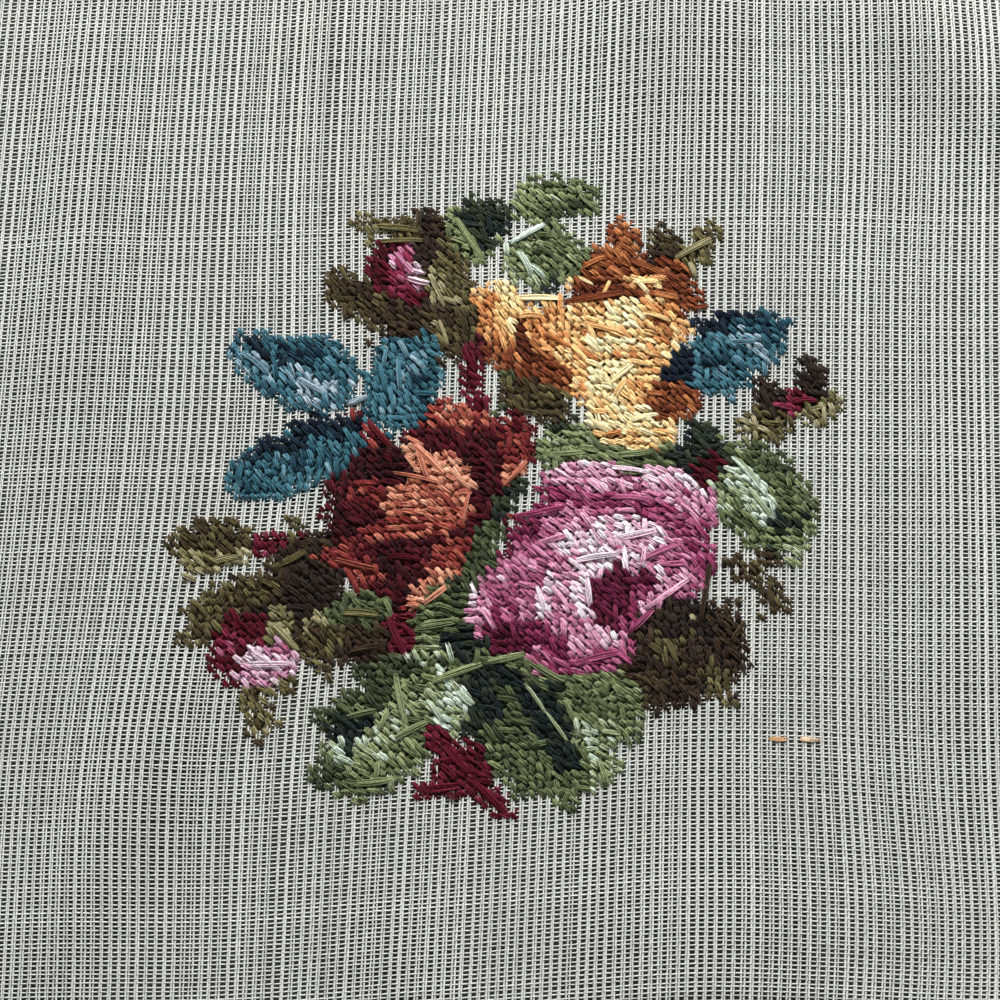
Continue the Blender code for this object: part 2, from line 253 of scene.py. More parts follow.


# cotton canvas thread: a slow stain, mixed in, times a twist noise that paints shade between the plies, and
# times the thread's own tone
def makeCanvasGroup():
    inputs = (
        ("Colour", "Color", cottonLook["colour"]),
        ("Soil colour", "Color", cottonLook["soilColour"]),
        ("Soil", "Float", cottonLook["soil"]),
    )
    group, inside, out = newGroup("canvasThread", inputs)
    place = group.nodes.new("ShaderNodeTexCoord").outputs["Object"]
    soil = addNoise(group, place, cottonLook["soilScale"], 3.0, cottonLook["rough"])
    mix = group.nodes.new("ShaderNodeMix")
    mix.data_type = "RGBA"
    group.links.new(addMath(group, "MULTIPLY", soil, inside.outputs["Soil"]), mix.inputs["Factor"])
    group.links.new(inside.outputs["Colour"], mix.inputs[6])
    group.links.new(inside.outputs["Soil colour"], mix.inputs[7])
    twist = addNoise(group, place, cottonLook["twistScale"], 2.0, cottonLook["rough"])
    # painted shade: darker where the twist noise, which is also the bump's height, is low
    shade = addMath(group, "MULTIPLY", twist, cottonLook["paintedPlyShade"])
    shade = addMath(group, "ADD", shade, cottonLook["darkest"])
    tone = addMath(group, "MULTIPLY", shade, addAttribute(group, "tone"))
    group.links.new(addTint(group, mix.outputs[2], tone), out.inputs["Colour"])
    matt = addMath(group, "MULTIPLY", twist, cottonLook["twistMatt"])
    group.links.new(addMath(group, "ADD", matt, cottonLook["smoothest"]), out.inputs["Roughness"])
    group.links.new(twist, out.inputs["Height"])
    return group


# a bump that feeds the shader's normal
def linkBump(tree, shader, height, strength, distance):
    bump = tree.nodes.new("ShaderNodeBump")
    bump.inputs["Strength"].default_value = strength
    bump.inputs["Distance"].default_value = distance
    tree.links.new(height, bump.inputs["Height"])
    tree.links.new(bump.outputs[0], shader.inputs["Normal"])


# a group placed in a material, its colour and roughness joined to the shader
def placeGroup(tree, group, shader):
    node = tree.nodes.new("ShaderNodeGroup")
    node.node_tree = group
    tree.links.new(node.outputs["Colour"], shader.inputs["Base Color"])
    tree.links.new(node.outputs["Roughness"], shader.inputs["Roughness"])
    return node


# unbleached cotton, a little soiled
def makeCanvasMaterial():
    material, tree, shader = newMaterial("canvasCotton", 0.75)
    node = placeGroup(tree, makeCanvasGroup(), shader)
    node.inputs["Colour"].default_value = cottonLook["colour"]
    node.inputs["Soil colour"].default_value = cottonLook["soilColour"]
    node.inputs["Soil"].default_value = cottonLook["soil"]
    linkBump(tree, shader, node.outputs["Height"], cottonLook["bump"], cottonLook["bumpDepth"])
    return material


# each wool's run of dyed shades from dark to light, 0-255
woolShades = {
    "wool_gold": ((84, 36, 20), (136, 70, 40), (224, 152, 92), (255, 220, 154), (255, 248, 206)),
    "wool_rust": ((36, 5, 16), (92, 16, 30), (152, 62, 56), (208, 130, 104), (242, 186, 154)),
    "wool_pink": ((84, 14, 40), (154, 56, 98), (204, 124, 160), (242, 196, 216), (255, 248, 252)),
    "wool_teal": ((12, 20, 36), (24, 48, 66), (52, 102, 116), (82, 132, 148), (174, 192, 204)),
    "wool_green": ((20, 32, 36), (66, 76, 50), (112, 124, 84), (158, 168, 122), (218, 234, 220)),
    "wool_olive": ((36, 27, 24), (60, 44, 32), (82, 72, 44), (122, 116, 74), (174, 166, 130)),
    "wool_burgundy": ((60, 5, 20), (98, 15, 36), (150, 50, 82), (216, 150, 184), (244, 228, 234)),
    "tacking_cotton": ((214, 170, 124), (226, 184, 138), (236, 198, 156), (245, 214, 176), (250, 226, 196)),
}


woolLook = {
    "roughness": 0.9,
    "sheen": 0.05,
    "sheenRoughness": 0.4,
    "specular": 0.18,
    "heatherScale": 2200.0,
    "heather": 0.16,  # how far blended fibres change the shade
    # strength of the painted light and shade on the fibres
    "paintedFibreShade": 1.0,
    "fibreCount": 3.4,
    "bump": 0.7,
    "bumpDepth": 0.14 * mm,
}


# dyed wool: a stitch's own shade plus a fine heather noise picks from the ramp of shades
def makeWoolMaterial(name):
    material, tree, shader = newMaterial(name + "Yarn", woolLook["roughness"])
    shader.inputs["Sheen Weight"].default_value = woolLook["sheen"]
    shader.inputs["Specular IOR Level"].default_value = woolLook["specular"]
    shader.inputs["Sheen Roughness"].default_value = woolLook["sheenRoughness"]
    ramp = tree.nodes.new("ShaderNodeValToRGB")
    stops, shades = ramp.color_ramp.elements, woolShades[name]
    while len(stops) < len(shades):
        stops.new(0.5)
    for i in range(len(shades)):
        stops[i].position = i / (len(shades) - 1)
    for stop, colour in zip(stops, shades):
        stop.color = linear(colour)
    place = tree.nodes.new("ShaderNodeTexCoord").outputs["Object"]
    heather = addMath(tree, "SUBTRACT", addNoise(tree, place, woolLook["heatherScale"]), 0.5)
    heather = addMath(tree, "MULTIPLY", heather, woolLook["heather"])
    tree.links.new(addMath(tree, "ADD", addAttribute(tree, "shade"), heather), ramp.inputs["Fac"])
    node = placeGroup(tree, yarnGroup, shader)
    tree.links.new(ramp.outputs["Color"], node.inputs["Colour"])
    node.inputs["Painted fibre shade"].default_value = woolLook["paintedFibreShade"]
    node.inputs["Fibre count"].default_value = woolLook["fibreCount"]
    linkBump(tree, shader, node.outputs["Height"], woolLook["bump"], woolLook["bumpDepth"])
    return material


# the chart: which wool and shade each crossing of the canvas holds
chart = {
    "reach": 44,  # cells to each side of the middle
    "ease": 0.3,  # cells added all round a petal or box
    "routeEase": 0.25,
    "stations": 41,  # points tried along a route
    "boxPower": 2.4,  # 2 makes an ellipse, more is squarer
    "leafRag": 0.05,  # unevenness of the edges, as a share of the size
    "areaRag": 0.16,
    "petalRag": 0.10,
    "petalBlunt": 3.0,
    "coreShrink": 0.30,  # in an area's core, smaller by this, bare canvas is stitched too
    "dotLoose": 0.1,
}

# slow waves that bend the boxes: size, per cell across, per cell up, start
boxSway = ((0.9, 0.5, 0.8, 0), (0.5, -0.7, 1.9, 0))
boxRise = ((0.9, 0.7, -0.6, 2), (0.5, 1.7, 0.9, 0))

cells = np.arange(-chart["reach"], chart["reach"] + 1)
gridU, gridV = np.meshgrid(cells, cells, indexing="ij")
woolNames = tuple(woolShades)
cellWool = np.full(gridU.shape, -1)
cellShade = np.zeros(gridU.shape)
ragged = rng.normal(0, 1, gridU.shape)

# roses and buds: wool, base shade, petals as middle u, v, half length, half width, turn
roundMotifs = (
    (
        "wool_gold", 0.62,
        (11.6, 20.0, 10.8, 5.8, 0), (0.0, 22.2, 6.2, 4.2, 118), (5.4, 17.6, 5.4, 3.4, -28),
        (14.8, 27.2, 7.8, 2.9, -8), (13.8, 30.2, 3.6, 2.6, 0), (14.2, 33.4, 2.3, 1.8, 90),
        (13.8, 14.6, 6.8, 4.9, -38), (20.8, 11.8, 3.0, 2.2, 0),
    ),
    (
        "wool_rust", 0.30,
        (-9.4, 0.0, 11.5, 8.3, 0), (-6.5, 9.0, 6.4, 3.6, -14), (1.2, 6.0, 5.2, 2.8, 80),
        (-16.4, 4.6, 4.7, 4.4, 0), (-17.4, -5.2, 4.4, 2.8, -24), (-18.0, 10.6, 2.4, 0.8, -56),
        (-12.0, -7.6, 8.6, 3.8, -12), (-9.2, -11.4, 3.8, 2.4, 10),
    ),
    (
        "wool_pink", 0.50,
        (13.0, -8.5, 12.0, 10.0, 0), (11.4, 0.8, 6.2, 4.0, 0), (21.4, -1.8, 5.2, 4.2, -16),
        (23.0, -8.4, 4.8, 3.0, 90), (1.8, -12.8, 5.2, 4.3, 100), (10.5, -18.4, 6.8, 3.5, -4),
    ),
    (
        "wool_burgundy", 0.20,
        (-13.6, 29.9, 5.0, 3.0, 108), (-11.4, 30.6, 3.8, 2.6, 122),
    ),
    (
        "wool_burgundy", 0.18,
        (35.2, 11.6, 3.2, 1.9, 20),
    ),
    (
        "wool_burgundy", 0.22,
        (-28.4, -16.4, 4.6, 2.6, 80), (-25.6, -18.6, 3.8, 2.2, 8),
    ),
)

# leaves, bands and stems: wool, shade, route u, v from base over middle to tip, half width, blunt
longMotifs = (
    ("wool_teal", 0.56, -19, 13.4, -25.2, 17.4, -33, 21.6, 4.0, 2.4),
    ("wool_teal", 0.56, -19.6, 14.6, -22.6, 18.4, -27, 21, 3.2, 3.0),
    ("wool_teal", 0.58, -13.8, 9, -12.8, 15.6, -11, 22.8, 4.7, 1.7),
    ("wool_teal", 0.54, -17, 9.4, -25, 6.6, -32, 3, 4.0, 2.6),
    ("wool_teal", 0.06, -26.4, 10.8, -22, 10.9, -17.2, 10.6, 0.8, 3.6),
    ("wool_teal", 0.55, 20, 14.8, 27, 17.6, 34.6, 21.8, 3.9, 2.2),
    ("wool_teal", 0.08, 23, 21.4, 26.5, 22, 30.6, 22.2, 0.9, 3.6),
    ("wool_green", 0.50, 0.2, 37, 6, 38.9, 11.6, 37.2, 2.7, 2.4),
    ("wool_green", 0.12, -0.2, 34.2, -2.6, 37.2, -5, 39.4, 1.7, 3.0),
    ("wool_green", 0.48, 0, 32.6, 4.6, 31.4, 9, 32.4, 3.8, 2.6),
    ("wool_olive", 0.46, 21.2, 28.8, 19.8, 31.8, 18.9, 34.8, 1.5, 3.0),
    ("wool_olive", 0.60, 21.4, 28.8, 23.6, 31.6, 25.8, 34.4, 1.4, 3.0),
    ("wool_olive", 0.55, -18, 36.8, -13, 35.8, -9.6, 34.6, 0.9, 3.6),
    ("wool_olive", 0.52, -10.8, 38.4, -7.8, 30, -4.4, 16.6, 2.4, 3.6),
    ("wool_green", 0.50, -6.4, 38.4, -4.8, 34.6, -2.4, 30.8, 1.8, 3.0),
    ("wool_olive", 0.48, -21.4, 31.2, -17.6, 26, -10, 23.2, 2.2, 3.0),
    ("wool_burgundy", 0.22, -2.8, 21, -4.3, 15.8, -2.2, 11.6, 1.2, 4.0),
    ("wool_olive", 0.46, -0.6, 13.6, 4, 12.8, 8.6, 10, 2.0, 3.0),
    ("wool_green", 0.50, 4.4, 6.2, 12, 5.6, 21, 5.6, 2.6, 3.6),
    ("wool_green", 0.14, 23.6, 9, 25, 5.6, 26, 2.4, 2.0, 3.6),
    ("wool_green", 0.48, 27.6, 5.4, 33, 0.6, 35.6, -7, 3.9, 2.8),
    ("wool_olive", 0.42, 28, -9, 31.4, -11, 35, -15.6, 1.4, 4.0),
    ("wool_olive", 0.42, 31.2, -8.8, 32.8, -8.6, 34, -8.4, 0.8, 4.0),
    ("wool_olive", 0.30, 17, -20.6, 23.5, -20.4, 30.4, -20.6, 6.4, 3.6),
    ("wool_olive", 0.50, -28.6, -4, -33, -3.6, -38.2, -4.4, 2.7, 2.4),
    ("wool_burgundy", 0.22, -28.4, -4.6, -25.4, -4, -21.6, -4.6, 1.6, 4.0),
    ("wool_olive", 0.50, -24.6, -0.4, -24, -1.6, -23.2, -2.8, 0.8, 4.0),
    ("wool_olive", 0.45, -34.8, -13.4, -27, -9.8, -17.6, -11.2, 2.1, 3.2),
    ("wool_olive", 0.40, -22.6, -16.4, -17, -16.6, -11.6, -17, 2.6, 3.4),
    ("wool_olive", 0.58, -26, -22, -25.4, -24.6, -24.8, -27.2, 1.3, 2.6),
    ("wool_green", 0.42, -3.6, -10.4, -5, -14.6, -4.8, -19.2, 3.2, 3.8),
    ("wool_burgundy", 0.26, -11.4, -13.4, -10, -17, -8.8, -19.8, 1.1, 4.0),
    ("wool_green", 0.45, -6, -21.4, -11.6, -27.6, -16, -35.4, 5.6, 2.8),
    ("wool_green", 0.45, 4.4, -22, 8.6, -29.6, 12, -37.6, 6.4, 2.8),
    ("wool_green", 0.30, -2.6, -20.8, -2.4, -25, -2.2, -29.2, 2.3, 4.0),
    ("wool_green", 0.34, 0, -2, -1.5, -8, -3, -12, 1.5, 3.0),
    ("wool_green", 0.12, 3.6, 2.2, 1.6, 0.5, 0.2, -3, 1.1, 3.0),
    ("wool_green", 0.40, -14, -20.4, -5, -20.4, 5, -21, 1.7, 3.4),
    ("wool_green", 0.50, 24, 8, 28, 5, 32, 2.6, 1.4, 3.0),
    ("wool_green", 0.48, 28.4, 1.6, 31, -3, 35, -6.8, 3.2, 2.8),
    ("wool_green", 0.44, -19, -13, -15, -12.6, -11.5, -14, 1.9, 3.0),
    ("wool_green", 0.05, 0.4, -20.6, -0.2, -25.5, -0.8, -30, 2.1, 3.6),
    ("wool_green", 0.42, 2.4, -22, 3, -29, 5.5, -36.4, 2.8, 3.2),
    ("wool_green", 0.50, 9, -22, 14, -26, 15.6, -32, 3.6, 3.2),
    ("wool_green", 0.46, 6.5, -33, 9.5, -35, 12.5, -37.6, 3.0, 3.0),
    ("wool_olive", 0.50, 28.2, 8.8, 32, 8.4, 35.4, 8.6, 1.6, 3.0),
    ("wool_olive", 0.10, 30.4, 12, 32, 12.6, 34, 13.6, 1.9, 3.0),
    ("wool_olive", 0.70, 36, 10, 38.6, 10.6, 40.6, 12, 1.5, 3.0),
    ("wool_olive", 0.12, 36.5, 13, 37.4, 15, 38, 17.2, 1.3, 3.0),
    ("wool_olive", 0.30, -26, -6.8, -22.5, -5, -20.5, -3, 1.5, 3.0),
    ("wool_olive", 0.14, -24.4, -6.4, -21, -9, -17.6, -11.4, 2.4, 3.0),
    ("wool_gold", 0.74, 11.2, 11.4, 15, 9, 21.6, 8.2, 2.6, 3.0),
    ("wool_gold", 0.24, 17.6, 12.4, 20.8, 12.2, 23.8, 10.2, 2.3, 3.0),
    ("wool_gold", 0.24, 18, 29, 20.8, 27, 22.4, 22.8, 2.6, 3.0),
    ("wool_pink", 0.40, 5, -19, 10, -20.8, 17, -19.4, 1.9, 3.0),
    ("wool_pink", 0.60, 0.4, -9, 0.2, -13, 1, -17.6, 2.4, 3.0),
    ("wool_pink", 0.12, 0.8, -17.6, 2.6, -18.2, 5.4, -18.6, 1.3, 3.0),
    ("wool_pink", 0.68, 7, 1.5, 11, 2.7, 16.6, 1.4, 1.7, 3.0),
    ("wool_pink", 0.80, 16.8, 1.6, 21, 1.8, 25.8, -1, 1.5, 3.0),
    ("wool_burgundy", 0.12, 24.2, 1.2, 25.4, 3, 26.8, 4.8, 1.0, 4.0),
    ("wool_burgundy", 0.24, -6.4, -28, -2.8, -32.2, 4.3, -40, 1.2, 4.0),
    ("wool_burgundy", 0.24, -1.4, -29.8, -0.4, -32.8, 0.8, -35.6, 1.1, 4.0),
    ("wool_burgundy", 0.24, -5, -30, -4.7, -32.6, -4.5, -35, 0.7, 4.0),
    ("wool_burgundy", 0.24, -7.2, -35.5, -4, -35.3, 0.4, -34.6, 1.1, 4.0),
    ("wool_burgundy", 0.80, -28, -19.6, -25.2, -18.8, -21.6, -18.6, 2.4, 3.0),
)

# shaded areas inside the motifs: u from, to, v from, to, shade from 0 dark to 1 light
shadedAreas = {
    "wool_teal": (
        (-33.4, -30.8, 20.4, 21.8, 0.40), (-30.4, -26.8, 19.4, 21.4, 0.10),
        (-26.4, -24, 18.6, 21.4, 0.52), (-25, -19, 13.6, 20.4, 0.56), (-29.4, -25, 14.4, 17, 0.60),
        (-27.6, -23.6, 17.8, 20.4, 0.26), (-25.8, -19.8, 14.2, 17.4, 0.92),
        (-24.2, -19.8, 12.6, 14.4, 0.82), (-14.4, -9.8, 14.8, 19.4, 0.76), (-12.4, -8.6, 13.4, 16, 0.44),
        (-16.6, -14, 13.6, 18, 0.60), (-29.6, -19.8, 7.8, 10.2, 0.14), (-30.2, -24, 5.4, 8.2, 0.36),
        (-31.4, -23.6, 2.2, 6, 0.62), (-23.6, -17.6, 5.8, 9.4, 0.58), (26.8, 34.8, 20.2, 22.8, 0.42),
        (23.8, 32.2, 13.8, 20.2, 0.60), (26.8, 31.6, 18.2, 20.4, 0.84), (18.8, 24.2, 14.2, 19, 0.08),
        (21.8, 28.4, 13, 15.2, 0.66), (24, 28, 15.4, 17.4, 0.40), (-14.4, -12.6, 9.6, 13.4, 0.66),
    ),
    "wool_green": (
        (0.6, 11.6, 35.8, 41.8, 0.44), (1.4, 4.2, 36.8, 39.8, 0.66), (5, 9, 38.2, 40.6, 0.60),
        (3, 9, 36, 37.2, 0.24), (-4.6, -0.4, 32.8, 38.8, 0.08), (-7, -2, 30.8, 38.8, 0.50),
        (-4.6, -1.4, 37, 40.2, 0.12), (3, 10.2, 27, 35.2, 0.52), (3.8, 6.6, 26.4, 29.2, 0.08),
        (-1.2, 4, 27, 33.2, 0.66), (-1.6, 4, 11.8, 16.2, 0.28), (4, 10.2, 8.8, 14, 0.18),
        (3.6, 12.2, 2.6, 7.8, 0.58), (6.8, 10.2, 5.8, 9.2, 0.66), (12, 17.2, 4.6, 6.6, 0.56),
        (15.8, 22.4, 2.4, 7.6, 0.44), (21.8, 27.2, 1.4, 9.6, 0.06), (26.8, 37.6, -6.2, 5, 0.44),
        (28.2, 30.4, -1, 2.4, 0.94), (30.2, 33.4, -3.6, 0.2, 0.90), (25.8, 28.6, -3.2, 2.6, 0.84),
        (29, 34, -6.4, -3.2, 0.54), (33.4, 36.2, -5.6, -3, 0.08), (34, 36.8, -8.2, -5.4, 0.72),
        (30.4, 34.2, -10.6, -8, 0.16), (30.4, 36, 1.5, 4.8, 0.34), (-1.4, 0, -8, -3.4, 0.32),
        (-4.4, -1.4, -15, -7, 0.30), (-9.4, -2.8, -18.2, -12.4, 0.46), (-4.2, -0.8, -20.2, -15.4, 0.06),
        (-8.8, -3.8, -20, -17.8, 0.78), (-18.8, -12, -14.6, -11.4, 0.42),
        (-15.2, -9, -24.2, -19.2, 0.26), (-16.2, -12, -31.2, -25.8, 0.06),
        (-16.2, -15, -31.8, -28.8, 0.86), (-14.6, -13.2, -30.8, -28.6, 0.92),
        (-18.2, -14.8, -35.6, -28, 0.32), (-15.2, -9, -35.2, -31, 0.56),
        (-12.6, -8.8, -32.2, -25.8, 0.72), (-9.2, -5.2, -34.2, -27.8, 0.56),
        (-8.8, -5.6, -26.8, -21.4, 0.58), (-6.2, -0.8, -26.2, -22.2, 0.94),
        (-5.8, -2.4, -29.8, -24.8, 0.78), (-2.6, 2.2, -30.2, -20.2, 0.06),
        (1.6, 10.2, -35.2, -21.6, 0.36), (1.2, 9.2, -37.2, -30.2, 0.40), (9, 17.8, -30.4, -21.2, 0.50),
        (10, 16.8, -36.2, -29.2, 0.70), (7.8, 12.6, -38.2, -34.8, 0.46), (5, 9, -24, -21, 0.48),
        (12, 16, -27.4, -24.8, 0.58), (5.6, 8, -27.4, -24, 0.04), (-18.2, -16, -27.4, -23.4, 0.30),
        (11.4, 13.4, -33, -28.6, 0.80),
    ),
    "wool_olive": (
        (18.6, 21, 29.6, 34, 0.30), (22.8, 25.4, 30.8, 34, 0.66), (-18.4, -15.8, 35.2, 37.8, 0.66),
        (-11.2, -8, 29.8, 38.4, 0.18), (-8.8, -4.8, 26.8, 35.2, 0.58), (-19.6, -16.4, 25.4, 29.2, 0.34),
        (-16.8, -8.8, 20.8, 26.2, 0.26), (-10.6, -7, 24.6, 30, 0.90), (-10.2, -3.6, 16.6, 25.2, 0.42),
        (-8.6, -6.4, 20, 23.6, 0.86), (-6.2, -3.2, 25.8, 30.2, 0.62), (30, 34.2, 10.4, 14.2, 0.12),
        (28.4, 34.2, 7, 10.2, 0.58), (29.2, 31.4, 7, 8.2, 0.86), (35.4, 40.8, 8.4, 13.6, 0.80),
        (35.2, 39.2, 12.6, 17.2, 0.10), (-38.6, -28, -5.6, -1, 0.46), (-36.2, -28.4, -7.2, -4.4, 0.84),
        (-24.2, -16.8, -12.2, -4.8, 0.14), (-35.2, -30, -16.2, -10.8, 0.58),
        (-32.2, -22, -12.6, -8.4, 0.50), (-26.2, -17.8, -13.2, -8.8, 0.08),
        (-27.2, -20.8, -18.2, -13, 0.86), (-22.2, -10.2, -19, -13.4, 0.26),
        (-21.2, -16.8, -20.2, -15, 0.56), (-27.2, -24, -27.8, -21.2, 0.66),
        (-24.8, -21.8, -23.2, -20.4, 0.62), (-19, -12, -15, -11.4, 0.66),
        (14.8, 30.9, -27.8, -13.8, 0.22), (21.8, 26.2, -19.2, -12.8, 0.02),
        (19.8, 23.2, -22.2, -17.8, 0.52), (24.8, 28.6, -27.6, -21.8, 0.54),
        (22.6, 23.6, -16.8, -15.8, 0.95), (29.8, 31.2, -12.8, -11, 0.50), (31, 35.2, -16.2, -11, 0.46),
        (-21, -20, -14.4, -12.6, 0.97), (27, 30, -17, -15, 0.34), (17, 21, -26.4, -23.6, 0.36),
    ),
}

